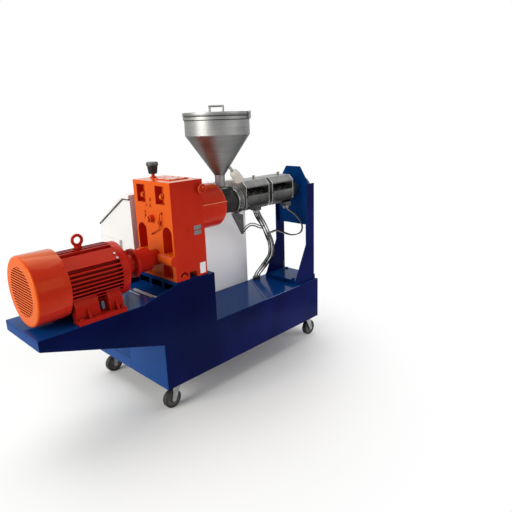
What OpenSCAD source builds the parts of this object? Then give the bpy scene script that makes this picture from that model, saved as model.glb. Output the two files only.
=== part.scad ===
// Single-screw plastics extruder on a wheeled sheet-steel base.
// Machine datum: x from the left end of the base box, y from its near side, z from the floor.
// The finished model is centred over the floor in x and y.

/* [Base] */
// Distance from the stand to the base's right end
base_tail = 10; // [5:1:40]
// Width of the base box
base_w = 345; // [335:5:400]
// Height of the base box above the casters
base_h = 268; // [220:2:300]
// Thickness of the base sheets
sheet = 5; // [4:0.5:8]

/* [Motor bed] */
// Overhang of the motor bed beyond the base box
bed_over = 590; // [575:5:700]
// Height of the motor bed above the floor
bed_top = 630; // [600:5:660]
// Height of the bed's end face
bed_end_h = 48; // [36:2:80]
// Depth of the bed's side plates where they meet the base box
bed_root_h = 241; // [180:1:260]
// Thickness of the bed plate
bed_t = 10; // [6:1:16]

/* [Gearbox pedestal] */
// Distance from the base's left end to the pedestal's front
ped_x0 = 100; // [80:5:130]
// Length of the pedestal
ped_l = 250; // [235:5:300]
// Rise of the pedestal above the motor bed
ped_rise = 50; // [36:1:60]
// Length of the slope from the bed up to the pedestal
ramp_l = 200; // [100:5:240]
// Thickness of the sole plate under the gearbox
sole_t = 8; // [6:1:20]
// Width of each post between the windows in the pedestal's front
window_post = 22; // [14:1:50]

/* [Gearbox] */
// Distance from the base's middle line to the machine's axis
axis_off = 14.5; // [0:0.5:16]
// Length of the gearbox along the barrel
gear_l = 198; // [180:2:220]
// Difference in width between the base and the gearbox
gear_margin = 33; // [30:1:60]
// Height of the gearbox's top above the barrel's axis
gear_over = 173; // [165:1:200]
// Height of the split between housing and cover above the barrel's axis
seam_over = 46; // [30:1:55]
// Width of the cast pockets in the cover's front
pocket_w = 74; // [50:1:80]
// Height of the cast pockets in the cover's front
pocket_h = 90; // [60:1:95]
// Depth of all cast pockets
pocket_d = 40; // [10:1:50]
// Width of the tall slots in the housing's front
slot_w = 74; // [50:1:78]
// Length of the arch under the housing between its feet
foot_gap = 52; // [40:1:70]
// Size of the inspection plate on the cover
hatch = 130; // [100:5:150]
// Radius of the output bearing housing
housing_r = 121; // [105:1:130]
// Length of the output bearing housing
housing_l = 208; // [180:2:230]

/* [Motor] */
// Height of the motor shaft above the bed
shaft_h = 166; // [162:1:180]
// Radius over the cooling fins
fin_r = 134; // [126:1:145]
// Radius of the motor frame under the fins
frame_r = 117; // [105:1:120]
// Length of the finned frame
frame_l = 255; // [245:5:270]
// Thickness of a cooling fin
fin_t = 6; // [4:0.5:8]
// Distance from fin to fin
fin_pitch = 18; // [15:1:20]
// Outer radius of the fan cowl
cowl_r = 155; // [148:1:158]
// Length of the fan cowl
cowl_l = 145; // [130:5:160]
// Wall of the fan cowl
cowl_wall = 4; // [3:0.5:5]
// Width of a louvre slot in the cowl
louvre_w = 6; // [4:0.5:8]
// Distance from louvre to louvre
louvre_pitch = 12; // [10:1:16]
// Length of the drive-end shield
shield_l = 90; // [80:1:100]
// Distance of the foot's outer edge from the motor's axis
foot_out = 154; // [150:1:158]
// Thickness of the motor's foot
foot_h = 20; // [14:1:26]
// Radius of the coupling drum
coupling_r = 58; // [50:1:64]

/* [Barrel] */
// Height of the barrel's axis above the floor
barrel_h = 1008; // [1000:1:1020]
// Outer radius of the barrel
barrel_r = 45; // [38:1:48]
// Radius of the feed throat
throat_r = 64; // [60:1:68]
// Length of the feed throat
throat_l = 128; // [115:1:140]
// Width of the hopper's seat on the feed throat
seat_w = 100; // [90:1:110]
// Height of the hopper's seat above the barrel's axis
seat_up = 82; // [76:1:90]
// Radius of the barrel's flange drum
drum_r = 76; // [70:1:85]
// Length of the flange drum
drum_l = 42; // [36:1:60]
// Length of each heated zone
zone_l = 185; // [170:1:195]
// Outer radius of the heater bands
band_r = 53; // [50:1:54]
// Half width of the heater covers
cover_half_w = 85; // [75:1:95]
// Height of the heater covers above the barrel's axis
cover_up = 108; // [95:1:115]
// Depth of the heater covers below the barrel's axis
cover_down = 58; // [58:1:66]
// Thickness of the covers' end plates
end_plate_t = 6; // [4:1:8]
// Gap between the two heated zones
zone_gap = 24; // [12:1:30]
// Length of a terminal block under the heaters
terminal_l = 50; // [40:1:60]
// Height of a terminal block under the heaters
terminal_h = 26; // [20:1:32]
// Size of the bevels along the covers' top
cover_bevel = 30; // [20:1:36]
// Size of the bevels along the covers' bottom
tray_bevel = 20; // [12:1:26]
// Height of the covers' side slot above the barrel's axis
slot_up = 26; // [18:1:30]
// Height of the covers' upper half's edge above the barrel's axis
hood_up = 70; // [60:1:72]
// Depth of the cable bracket below the barrel's axis
bracket_drop = 212; // [190:1:230]
// Radius of the die adapter
adapter_r = 68; // [60:1:80]
// Radius of the bolt circle on the die adapter
adapter_pcr = 52; // [45:1:58]
// Radius of the bolt holes in the die adapter
adapter_hole_r = 5.5; // [4:0.25:6.5]
// Distance from the stand's cross plate to the die adapter
adapter_gap = 32; // [20:1:50]
// Length of the die adapter
adapter_l = 70; // [60:2:90]

/* [Hopper] */
// Outer radius of the hopper
hopper_r = 176; // [150:1:180]
// Height of the hopper's cylinder
hopper_cyl_h = 115; // [90:1:140]
// Height of the hopper's cone
hopper_cone_h = 218; // [190:1:240]
// Radius of the hopper's neck
neck_r = 28; // [24:1:34]
// Height of the hopper's neck
neck_h = 73; // [60:1:90]
// Wall of the hopper
hopper_wall = 2.5; // [2:0.25:4]
// Length of the lid's handle
grip_l = 84; // [70:2:100]
// Height of the lid's handle
grip_h = 32; // [28:1:40]
// Radius of the lid handle's bar
grip_r = 6; // [4:0.5:7]
// Depth of the lid's skirt
lid_skirt = 14; // [8:1:20]
// Length of the shut-off paddle on the cone
paddle_l = 80; // [60:1:90]
// Direction of the lid's hinge round the hopper
hinge_angle = 44; // [20:1:70]
// Direction of the lid's catch round the hopper
catch_angle = -66; // [-80:1:-50]
// Direction of the shut-off paddle round the cone
paddle_angle = -64; // [-90:1:-40]
// Radius of the hinge pin
hinge_pin_r = 4; // [3:0.25:5]

/* [Stand] */
// Distance from the last heater to the stand's cross plate
barrel_tail = 99; // [80:1:110]
// Distance of the cross plate behind the side plates' front edge
cross_inset = 28; // [16:1:50]
// Depth of the stand's side plates at the top
stand_top_d = 80; // [72:2:100]
// Depth of the stand's side plates at the foot
stand_foot_d = 190; // [170:2:200]
// Difference in width between the base and the stand
stand_margin = 79; // [75:1:95]
// Height of the stand's side plates above the barrel's axis
stand_over = 42; // [36:1:60]
// Height of the slanted front above the foot
stand_slant_h = 220; // [150:2:300]
// Thickness of the stand's plates
stand_t = 8; // [6:1:12]
// Thickness of the stand's foot
foot_t = 30; // [10:1:36]
// Rise of the cross plate's trapezoid head above the side plates
head_h = 106; // [90:1:120]
// Width of the trapezoid head's top edge
head_w = 114; // [90:2:140]
// Depth of the cross plate below the barrel's axis
portal_drop = 228; // [200:1:260]
// Thickness of the deck plate in front of the stand
deck_t = 3; // [2:0.5:5]
// Length of the deck plate along the near side
deck_near_l = 325; // [280:5:340]
// Length of the deck plate along the far side
deck_far_l = 98; // [90:2:140]

/* [Console] */
// Distance from the base's left end to the console
console_x0 = 97; // [60:1:110]
// Width of the console along the barrel
console_l = 845; // [800:5:860]
// Depth of the console with its doors
console_d = 340; // [300:2:380]
// Height of the console's back above the floor
console_back_z = 1097; // [1040:1:1140]
// Height of the console's front above the floor
console_front_z = 927; // [880:1:960]
// Depth of the flat strip along the console's back edge
console_flat = 60; // [30:1:90]
// Height of the plinth that carries the console
plinth_h = 58; // [45:1:70]
// Thickness of the console's doors
door_t = 12; // [8:1:18]
// Thickness of the desk panel
desk_t = 22; // [12:1:30]
// Depth of the vent box on the console's left side
vent_d = 16; // [10:1:24]

/* [Casters] */
// Height from the floor to the underside of the base
caster_h = 137; // [132:1:150]
// Radius of a caster wheel
wheel_r = 50; // [44:1:52]
// Width of a caster wheel
wheel_w = 32; // [24:1:36]
// Distance from the swivel axis back to the wheel's axle
trail = 25; // [20:1:30]

/* [Clearances] */
// Gap where a moving face runs beside a fixed one
run_gap = 0.3; // [0.2:0.05:0.5]
// Radial clearance of a pin in its hole
pin_gap = 0.05; // [0.02:0.01:0.1]
// Gap round pieces that are slid into place
fit_gap = 0.3; // [0.2:0.05:0.5]

/* [Hidden] */
$fn = 96;

navy = [0.09, 0.08, 0.36];
orange = [0.85, 0.20, 0.06];
stainless = [0.78, 0.79, 0.80];
dark_steel = [0.28, 0.28, 0.29];
pale_grey = [0.88, 0.88, 0.87];
black = [0.05, 0.05, 0.05];

base_z = caster_h;
base_top = base_z + base_h;
axis_y = base_w / 2 - axis_off;
gear_w = base_w - gear_margin;
stand_w = base_w - stand_margin;
bed_root_z = bed_top - bed_root_h;
bed_end_z = bed_top - bed_end_h;
ped_z = bed_top + ped_rise;
ped_x1 = ped_x0 + ped_l;
gear_x0 = ped_x0 + sheet;
gear_x1 = gear_x0 + gear_l;
gear_z0 = ped_z + sole_t;
gear_z1 = barrel_h + gear_over;
seam_h = barrel_h + seam_over - gear_z0;
motor_z = bed_top + shaft_h;
cowl_x0 = sheet + 19 - bed_over;
frame_x0 = cowl_x0 + cowl_l;
frame_x1 = frame_x0 + frame_l;
throat_x0 = gear_x1 + housing_l;
throat_x1 = throat_x0 + throat_l;
drum_x1 = throat_x1 + drum_l;
zone_step = zone_l + 2 * end_plate_t + zone_gap;
function zone_x(i) = drum_x1 + end_plate_t + i * zone_step;
hopper_x = throat_x0 + seat_w / 2 + 2;
seat_z = barrel_h + seat_up;
cone_z = seat_z + neck_h;
cyl_z = cone_z + hopper_cone_h;
rim_z = cyl_z + hopper_cyl_h;
hinge_r = hopper_r + 30;
cross_x0 = zone_x(1) + zone_l + end_plate_t + barrel_tail;
stand_x0 = cross_x0 - cross_inset;
stand_x1 = stand_x0 + stand_top_d;
base_l = stand_x1 + base_tail;
stand_foot_x0 = stand_x1 - stand_foot_d;
stand_y0 = axis_y - stand_w / 2;
stand_z0 = base_top + foot_t;
stand_top = barrel_h + stand_over;
adapter_x0 = cross_x0 + adapter_gap;
plinth_z1 = base_z + plinth_h;
console_y0 = base_w + 7;
console_y1 = console_y0 + console_d;
deck_z = base_top + deck_t;
terminal_z = barrel_h - cover_down - terminal_h;
gland_r = 26;
gland_h = 16;
gland_x = stand_foot_x0 - 2.7 * gland_r;
gland_y = base_w - gland_r - 3;

lid_r = hopper_r + 8;
min_x = -bed_over;
max_x = adapter_x0 + adapter_l;
min_y = axis_y - lid_r;
max_y = console_y1;
center = [(min_x + max_x) / 2, (min_y + max_y) / 2, 0];

// Each caster: x and y of the swivel axis, and the direction the wheel trails
caster_w = 80;
caster_l = 96;
caster_in = 75;
casters = [
    [caster_in, 0.65 * caster_w, 180], [base_l - 0.9 * caster_in, 0.65 * caster_w, 0],
    [caster_in, console_y1 - 0.65 * caster_w, 180],
    [console_x0 + console_l - 0.83 * caster_in, console_y1 - 0.65 * caster_w, 180]
];

// Terminal blocks under the two zones: how far each sits to the near side, x and y of its middle
function terminal_x(i) = zone_x(i) + 0.8 * zone_l;
terminal_near = [8, 58];
terminals = [for (i = [0:1]) [terminal_x(i), axis_y - terminal_near[i]]];

// Hand-chosen cable routes. The bundle runs from the first terminal to the gland:
// share of the way in x, bulge in x, share of the way in y and in z
bundle_r = 20;
bundle_steps = [
    [0, 0, 0, 0], [0.1, 7, 0, 0.09], [0.3, 23, 0.03, 0.21], [0.5, 49, 0.15, 0.36], [0.7, 75, 0.3, 0.52],
    [0.8, 92, 0.51, 0.69], [0.9, 65, 0.75, 0.82], [0.97, 20, 0.95, 0.94], [1, 0, 1, 1]
];
bundle_end = [gland_x, gland_y, deck_z + gland_h];
bundle_start = [terminals[0].x, terminals[0].y, terminal_z];
bundle_route = [
    for (k = bundle_steps) [
        bundle_start.x + k[0] * (bundle_end.x - bundle_start.x) + k[1],
        bundle_start.y + k[2] * (bundle_end.y - bundle_start.y),
        bundle_start.z + k[3] * (bundle_end.z - bundle_start.z)
    ]
];
// The probe hose hangs in a loop from the second terminal back to the bundle
hose_r = 7;
hose_steps = [
    [0, 0, 0], [20, -10, -29], [55, -24, -59], [90, -36, -99], [110, -42, -144], [105, -40, -179],
    [75, -34, -194], [30, -16, -194], [-15, 8, -174], [-55, 35, -156]
];
hose_route = concat(
    [for (k = hose_steps) [terminals[1].x, terminals[1].y, terminal_z] + k],
    [bundle_route[3] + [-2, -7, 7]]
);
// The bracket's cable arches from the bracket's tip to the bundle: share of the way and rise
bracket_r = 8;
bracket_tip = [throat_x1 + 90, axis_y, barrel_h - bracket_drop + 16];
bracket_end = bundle_route[2] + [0, 3, -14];
bracket_route = [
    for (k = [[0, 0], [0.17, 21], [0.39, 31], [0.61, 22], [0.83, 5], [1, 0]])
        bracket_tip + k[0] * (bracket_end - bracket_tip) + [0, 0, k[1]]
];
cord_sides = 10;

module place() translate(-center) children();
module along_x(x) translate([x, axis_y, 0]) rotate([90, 0, 90]) children();
module revolve_x(x, z) translate([x, axis_y, z]) rotate([0, 90, 0]) rotate_extrude() children();
module side_plate(y, t) translate([0, y + t, 0]) rotate([90, 0, 0]) linear_extrude(t) children();

// Swept tube: a ring of points at each route point, square to the local direction
function unit(v) = v / norm(v);
function heading(p, i) = unit(p[min(i + 1, len(p) - 1)] - p[max(i - 1, 0)]);
function side_of(d) = unit(cross(d, abs(d.y) < 0.9 ? [0, 1, 0] : [1, 0, 0]));
function ring(c, d, r) = [
    for (k = [0:cord_sides - 1])
        c + r * (cos(360 * k / cord_sides) * side_of(d)
            + sin(360 * k / cord_sides) * cross(d, side_of(d)))
];
module tube(route, r, first, last) {
    n = len(route);
    dirs = [for (i = [0:n - 1]) i == 0 ? first : (i == n - 1 ? last : heading(route, i))];
    points = [for (i = [0:n - 1]) each ring(route[i], dirs[i], r)];
    walls = [
        for (i = [0:n - 2]) for (k = [0:cord_sides - 1])
            let (a = i * cord_sides, b = (k + 1) % cord_sides)
                each [
                    [a + k, a + b, a + cord_sides + k],
                    [a + b, a + cord_sides + b, a + cord_sides + k]
                ]
    ];
    cap_0 = [for (k = [cord_sides - 1:-1:0]) k];
    cap_1 = [for (k = [0:cord_sides - 1]) (n - 1) * cord_sides + k];
    polyhedron(points, concat([cap_0], walls, [cap_1]));
}

// Side outline shared by the near and far panels of base, bed and pedestal
module side_outline() {
    polygon([
        [-bed_over, bed_end_z], [0, bed_root_z], [0, base_z], [base_l, base_z], [base_l, base_top],
        [ped_x1, base_top], [ped_x1, ped_z], [ped_x0, ped_z], [ped_x0 - ramp_l, bed_top], [-bed_over, bed_top]
    ]);
}
module base_near_panel() { color(navy) side_plate(0, sheet) side_outline(); }
module base_far_panel() { color(navy) side_plate(base_w - sheet, sheet) side_outline(); }
module between(x0, x1, z0, z1) translate([x0, sheet, z0]) cube([x1 - x0, base_w - 2 * sheet, z1 - z0]);
module base_floor() { color(navy) between(0, base_l, base_z, base_z + sheet); }
module base_left_panel() { color(navy) between(0, sheet, base_z + sheet, bed_root_z); }
module base_right_panel() {
    color(navy) between(base_l - sheet, base_l, base_z + sheet, base_top - sheet);
}
module base_top_plate() { color(navy) between(ped_x1 - sheet, base_l, base_top - sheet, base_top); }
module bed_top_plate() { color(navy) between(-bed_over, ped_x0 + 2 * sheet, bed_top - bed_t, bed_top); }
module bed_end_plate() { color(navy) between(-bed_over, sheet - bed_over, bed_end_z, bed_top - bed_t); }
module bed_under_plate() {
    slope = (bed_end_z - bed_root_z) / bed_over;
    x0 = sheet - bed_over;
    color(navy) side_plate(sheet, base_w - 2 * sheet)
        polygon([
            [x0, bed_root_z - slope * x0], [0, bed_root_z], [sheet, bed_root_z],
            [sheet, bed_root_z + sheet], [0, bed_root_z + sheet], [x0, bed_root_z + sheet - slope * x0]
        ]);
}

// Open front of the pedestal with three windows
module pedestal_front_frame() {
    pitch = (base_w - 2 * sheet) / 3;
    window_w = pitch - window_post;
    color(navy) difference() {
        between(ped_x0, ped_x0 + 2 * sheet, bed_top, ped_z - sheet);
        for (i = [0:2])
            translate([ped_x0 - 1, sheet + (i + 0.5) * pitch - window_w / 2, bed_top + sheet])
                cube([2 * sheet + 2, window_w, ped_rise - 3 * sheet]);
    }
}
module pedestal_cover() { color(navy) between(ped_x0, ped_x1, ped_z - sheet, ped_z); }
module pedestal_right_plate() { color(navy) between(ped_x1 - sheet, ped_x1, base_top, ped_z - sheet); }
module gearbox_sole_plate() {
    color(navy) translate([ped_x0, axis_y - gear_w / 2 - 1, ped_z])
        cube([gear_l + 2 * sheet, gear_w + 2, sole_t]);
}

// Deck plate with a skewed front edge, and the stand that carries the barrel's outlet end
module deck_plate() {
    color(navy) translate([0, 0, base_top]) linear_extrude(deck_t)
        polygon([
            [stand_foot_x0 - deck_near_l, 0], [stand_foot_x0 - fit_gap, 0],
            [stand_foot_x0 - fit_gap, base_w], [stand_foot_x0 - deck_far_l, base_w]
        ]);
}
module stand_foot() {
    color(navy) translate([stand_foot_x0, stand_y0 - 5, base_top])
        cube([stand_foot_d + 5, stand_w + 10, foot_t]);
}
module stand_side(y) {
    color(navy) side_plate(y, stand_t)
        polygon([
            [stand_foot_x0, stand_z0], [stand_x1, stand_z0], [stand_x1, stand_top], [stand_x0, stand_top],
            [stand_x0, stand_z0 + stand_slant_h]
        ]);
}
module stand_near_plate() stand_side(stand_y0);
module stand_far_plate() stand_side(stand_y0 + stand_w - stand_t);
module stand_cross_plate() {
    half = stand_w / 2 - stand_t;
    low = barrel_h - portal_drop;
    head = stand_top + head_h;
    color(navy) along_x(cross_x0) linear_extrude(stand_t) difference() {
        polygon([
            [-half, low], [half, low], [half, stand_top],
            [head_w / 2, head], [-head_w / 2, head], [-half, stand_top]
        ]);
        translate([0, barrel_h]) circle(barrel_r + fit_gap);
    }
}

// Control console on its plinth behind the base
module console_plinth() {
    color(navy) translate([0, base_w, base_z]) cube([console_x0 + console_l, console_y1 - base_w, plinth_h]);
}
console_run = console_d - door_t;
console_slope = (console_back_z - console_front_z) / (console_d - console_flat);
module console_body() {
    vent_h = 0.5 * (console_front_z - plinth_z1);
    body_z = console_back_z - desk_t - fit_gap;
    color(pale_grey) translate([console_x0, console_y0, 0]) {
        rotate([90, 0, 90]) linear_extrude(console_l)
            polygon([
                [0, plinth_z1], [console_run, plinth_z1],
                [console_run, body_z - console_slope * (console_run - console_flat)],
                [console_flat, body_z], [0, body_z]
            ]);
        translate([-vent_d, 0.35 * console_d, console_front_z - 1.24 * vent_h])
            cube([vent_d + 1, 0.55 * console_d, vent_h]);
    }
}
module console_desk() {
    color(pale_grey) translate([console_x0 - 8, console_y0, 0]) rotate([90, 0, 90])
        linear_extrude(console_l + 16)
            polygon([
                [0, console_back_z - desk_t], [console_flat, console_back_z - desk_t],
                [console_d, console_front_z - desk_t], [console_d, console_front_z],
                [console_flat, console_back_z], [0, console_back_z]
            ]);
}
module console_doors() {
    leaf = console_l / 2;
    color(pale_grey) for (i = [0:1])
        translate([console_x0 + i * leaf + 3, console_y0 + console_run, plinth_z1 + 10])
            cube([leaf - 6, door_t, console_front_z - desk_t - plinth_z1 - 20]);
}

// Motor: finned frame with cast feet, louvred fan cowl and drive-end shield
foot_x = 15;
// Each cast post on the feet: where it starts along the frame and how long it is
post_l = [110, 70];
posts = [[foot_x, post_l[0]], [frame_l - foot_x - post_l[1], post_l[1]]];
box_w = 110;
box_drop = 40;
box_in = 6;
module box_seat(depth) {
    translate([frame_x0 + (frame_l - box_w) / 2, axis_y + fin_r - box_in, motor_z - box_drop])
        cube([box_w, depth, box_w]);
}
module fin_profile() {
    circle(frame_r);
    for (s = [0, 1]) mirror([s, 0])
        polygon([[0, 0], fin_r * [cos(33), sin(33)], fin_r * [cos(63), sin(63)]]);
    intersection() {
        circle(fin_r);
        union() {
            for (i = [-5:3]) translate([-fin_r, i * fin_pitch - fin_t / 2]) square([2 * fin_r, fin_t]);
            for (i = [-2:2]) translate([i * fin_pitch - fin_t / 2, -fin_r]) square([fin_t, 2 * fin_r]);
        }
    }
}
module motor_frame() {
    color(orange) {
        difference() {
            along_x(frame_x0) translate([0, motor_z]) linear_extrude(frame_l) fin_profile();
            box_seat(2 * box_in);
        }
        revolve_x(frame_x0 - 10, motor_z) square([cowl_r - cowl_wall - fit_gap, 12]);
        along_x(frame_x0 + foot_x) translate([0, motor_z - shaft_h]) linear_extrude(frame_l - 2 * foot_x)
            for (s = [0, 1]) mirror([s, 0]) translate([0.58 * foot_out, 0])
                square([0.42 * foot_out, foot_h]);
        for (p = posts)
            along_x(frame_x0 + p[0]) translate([0, motor_z - shaft_h]) linear_extrude(p[1])
                for (s = [0, 1]) mirror([s, 0])
                    polygon([
                        [0.58 * foot_out, foot_h / 2], [0.86 * foot_out, foot_h / 2],
                        [0.8 * foot_out, 0.45 * shaft_h],
                        [0.7 * foot_out, 0.66 * shaft_h], [0.45 * foot_out, 0.66 * shaft_h]
                    ]);
        for (p = posts)
            along_x(frame_x0 + p[0] + p[1] / 2 - 5) translate([0, motor_z - shaft_h]) linear_extrude(10)
                for (s = [0, 1]) mirror([s, 0])
                    polygon([
                        [0.8 * foot_out, foot_h / 2], [0.98 * foot_out, foot_h / 2],
                        [0.98 * foot_out, foot_h + 4], [0.8 * foot_out, 0.4 * shaft_h]
                    ]);
    }
}
module motor_cowl() {
    wall = cowl_wall;
    bend = 12;
    color(orange) difference() {
        revolve_x(cowl_x0, motor_z) difference() {
            union() {
                square([cowl_r - bend, bend]);
                translate([0, bend]) square([cowl_r, cowl_l - bend]);
                translate([cowl_r - bend, bend]) intersection() {
                    circle(bend);
                    translate([0, -bend]) square(bend);
                }
            }
            translate([0, wall]) square([cowl_r - bend, cowl_l]);
            translate([0, bend]) square([cowl_r - wall, cowl_l]);
        }
        along_x(cowl_x0 - 1) translate([0, motor_z]) linear_extrude(wall + 2) intersection() {
            circle(0.7 * cowl_r);
            for (i = [-9:9])
                translate([-cowl_r, i * louvre_pitch - louvre_w / 2]) square([2 * cowl_r, louvre_w]);
        }
    }
}
module motor_end_shield() {
    rim = fin_r - 4;
    color(orange) revolve_x(frame_x1, motor_z)
        polygon([
            [0, 0], [rim, 0], [rim, 0.43 * shield_l], [0.91 * rim, 0.53 * shield_l],
            [0.6 * rim, 0.83 * shield_l],
            [0.46 * rim, 0.88 * shield_l], [0.46 * rim, shield_l], [0, shield_l]
        ]);
}
module motor_terminal_box() { color(orange) box_seat(0.42 * box_w); }
module motor_eye_bolt() {
    x = frame_x0 + 0.47 * frame_l;
    z = motor_z + fin_r;
    collar_h = 14;
    ring_r = 22;
    color(orange) {
        translate([x, axis_y, z]) cylinder(r = 17, h = collar_h);
        translate([x, axis_y, z + collar_h + ring_r]) rotate([90, 0, 0]) rotate_extrude()
            translate([ring_r, 0]) circle(7);
    }
}
module coupling_drum() {
    x0 = frame_x1 + shield_l;
    l = gear_x0 - x0;
    r = coupling_r;
    color(orange) revolve_x(x0, motor_z)
        polygon([
            [0, 0], [0.8 * r, 0], [0.8 * r, 0.5 * r], [1.25 * r, 0.5 * r], [1.25 * r, 0.75 * r],
            [r, 0.75 * r], [r, l - 0.95 * r], [0.7 * r, l - 0.85 * r], [0.7 * r, l], [0, l]
        ]);
}

// Gearbox: ribbed and pocketed casting with a split cover and an output bearing housing
module gear_block(z0, z1) translate([gear_x0, axis_y - gear_w / 2, z0]) cube([gear_l, gear_w, z1 - z0]);
// Cut of a 2D shape, given in y and z from the axis and the gearbox's foot, into the front face
module front_cut(depth) {
    along_x(gear_x0 - 1) translate([0, gear_z0]) linear_extrude(depth + 1) children();
}
module boss(y, z, r, l) along_x(gear_x0 - l) translate([y, z]) cylinder(r = r, h = l + 1);
module gearbox_housing() {
    side = 0.34 * gear_w;
    slot_z = 0.37 * seam_h;
    slot_h = 0.28 * seam_h;
    recess = 0.26 * gear_w;
    foot_r = 24;
    rib_r = 0.073 * seam_h;
    plug_r = 20;
    foot_side = axis_y - gear_w / 2;
    color(orange) {
        difference() {
            gear_block(gear_z0, gear_z0 + seam_h);
            front_cut(1.4 * pocket_d) for (s = [-1, 1]) {
                translate([s * side - slot_w / 2, slot_z]) square([slot_w, slot_h]);
                translate([s * side, slot_z + slot_h]) circle(slot_w / 2);
            }
            front_cut(pocket_d) for (s = [-1, 1]) intersection() {
                translate([s * 0.86 * side - recess / 2, 0.03 * seam_h]) square([recess, 0.18 * seam_h]);
                translate([s * 0.86 * side, 0.12 * seam_h]) circle(0.55 * recess);
            }
            translate([gear_x0 + (gear_l - foot_gap) * 0.57, foot_side - 1, gear_z0 - 1])
                cube([foot_gap, gear_w + 2, 35]);
            for (y = [foot_side, foot_side + gear_w])
                translate([gear_x0 + 0.26 * gear_l, y, gear_z0 + foot_r - 6]) rotate([90, 0, 0])
                    cylinder(r = foot_r, h = 36, center = true);
        }
        for (y = [foot_side, foot_side + gear_w - 19])
            translate([gear_x0 + 0.26 * gear_l - foot_r - 1, y, gear_z0])
                cube([2 * foot_r + 2, 19, foot_r - 6]);
        difference() {
            translate([gear_x0 + 1, foot_side, motor_z]) rotate([-90, 0, 0]) cylinder(r = rib_r, h = gear_w);
            along_x(gear_x0 - rib_r) translate([0, motor_z])
                cylinder(r = 0.7 * coupling_r + fit_gap, h = rib_r);
        }
        boss(0.4 * plug_r, barrel_h - 12, plug_r, 22);
        boss(-0.5 * side, barrel_h - 26, 0.55 * plug_r, 10);
    }
}
module gearbox_cover() {
    pockets = [-0.225 * gear_w, 0.285 * gear_w];
    color(orange) {
        difference() {
            gear_block(gear_z0 + seam_h, gear_z1);
            along_x(gear_x0 - 1) translate([0, gear_z1 - 20]) linear_extrude(pocket_d + 1)
                for (y = pockets) translate([y - pocket_w / 2, -pocket_h]) square([pocket_w, pocket_h]);
        }
        for (y = pockets)
            translate([gear_x0 + 0.3 * pocket_d, axis_y + y, gear_z1 - 20 - 0.6 * pocket_h])
                rotate([0, 90, 0]) cylinder(r = 0.17 * pocket_w, h = pocket_d);
        translate([gear_x0 + 0.3 * gear_l, axis_y - 0.6 * hatch, gear_z1 - 1])
            cube([0.6 * gear_l, hatch, 5]);
    }
}
module housing_profile(r) {
    bend = 28;
    square([r, housing_l - bend]);
    square([r - bend, housing_l]);
    translate([r - bend, housing_l - bend]) circle(bend);
}
module gearbox_output_housing() {
    color(orange) {
        revolve_x(gear_x1, barrel_h) housing_profile(housing_r);
        intersection() {
            revolve_x(gear_x1, barrel_h) housing_profile(housing_r + 5);
            translate([gear_x1, axis_y - gear_w, barrel_h + 0.18 * housing_r])
                cube([housing_l, 2 * gear_w, 8]);
        }
    }
}
breather_r = 30;
breather_h = 80;
module gearbox_breather() {
    r = breather_r;
    rim = breather_h - 19;
    translate([gear_x0 + 0.5 * gear_l, axis_y + 0.37 * gear_w, gear_z1]) rotate_extrude()
        polygon([
            [0, 0], [0.55 * r, 0], [0.55 * r, 6], [0.3 * r, 8], [0.3 * r, 19], [0.67 * r, 21],
            [0.83 * r, rim - 2],
            [r, rim], [r, rim + 14], [0.88 * r, breather_h], [0, breather_h]
        ]);
}
eye_in = 14;
eye_drop = 48;
module gearbox_lifting_eye() {
    color(orange) translate([gear_x1 - eye_in, axis_y - gear_w / 2, gear_z1 - eye_drop]) rotate([90, 0, 0]) {
        cylinder(r = 8, h = 10);
        translate([0, 0, 10 + 5]) rotate_extrude() translate([20, 0]) circle(5.5);
        translate([-20, -5, 10]) cube([40, 10, 6]);
    }
}

// Barrel with its feed throat, heaters, covers and outlet
module feed_throat() {
    color(dark_steel) {
        revolve_x(throat_x0, barrel_h) square([throat_r, throat_l]);
        translate([hopper_x - 0.4 * seat_w, axis_y - 0.4 * seat_w, barrel_h])
            cube([0.8 * seat_w, 0.8 * seat_w, seat_up]);
        translate([hopper_x - seat_w / 2, axis_y - seat_w / 2, seat_z - 12]) cube([seat_w, seat_w, 12]);
    }
}
module barrel_flange_drum() {
    color(dark_steel) revolve_x(throat_x1, barrel_h)
        polygon([
            [0, 0], [drum_r - 8, 0], [drum_r - 8, drum_l - 24], [drum_r, drum_l - 18],
            [drum_r, drum_l], [0, drum_l]
        ]);
}
module barrel() {
    color(dark_steel) revolve_x(drum_x1, barrel_h) square([barrel_r, adapter_x0 - drum_x1]);
}
module heater_bands() {
    for (i = [0:1])
        color(black) along_x(zone_x(i) + 2) translate([0, barrel_h])
            linear_extrude(zone_l - 4) difference() {
                circle(band_r);
                circle(barrel_r + fit_gap);
            }
}
module hood_outline(w, low, top, bevel) {
    polygon([[-w, low], [-w, top - bevel], [bevel - w, top], [w - bevel, top], [w, top - bevel], [w, low]]);
}
module tray_outline(w, low, top, bevel) {
    polygon([[-w, top], [-w, low + bevel], [bevel - w, low], [w - bevel, low], [w, low + bevel], [w, top]]);
}
module heater_end_plates() {
    color(stainless) for (i = [0:1]) for (x = [zone_x(i) - end_plate_t, zone_x(i) + zone_l])
        along_x(x) translate([0, barrel_h]) linear_extrude(end_plate_t) difference() {
            union() {
                hood_outline(cover_half_w, -1, cover_up, cover_bevel);
                tray_outline(cover_half_w, -cover_down, 0, tray_bevel);
            }
            circle(barrel_r + fit_gap);
        }
}
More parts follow.
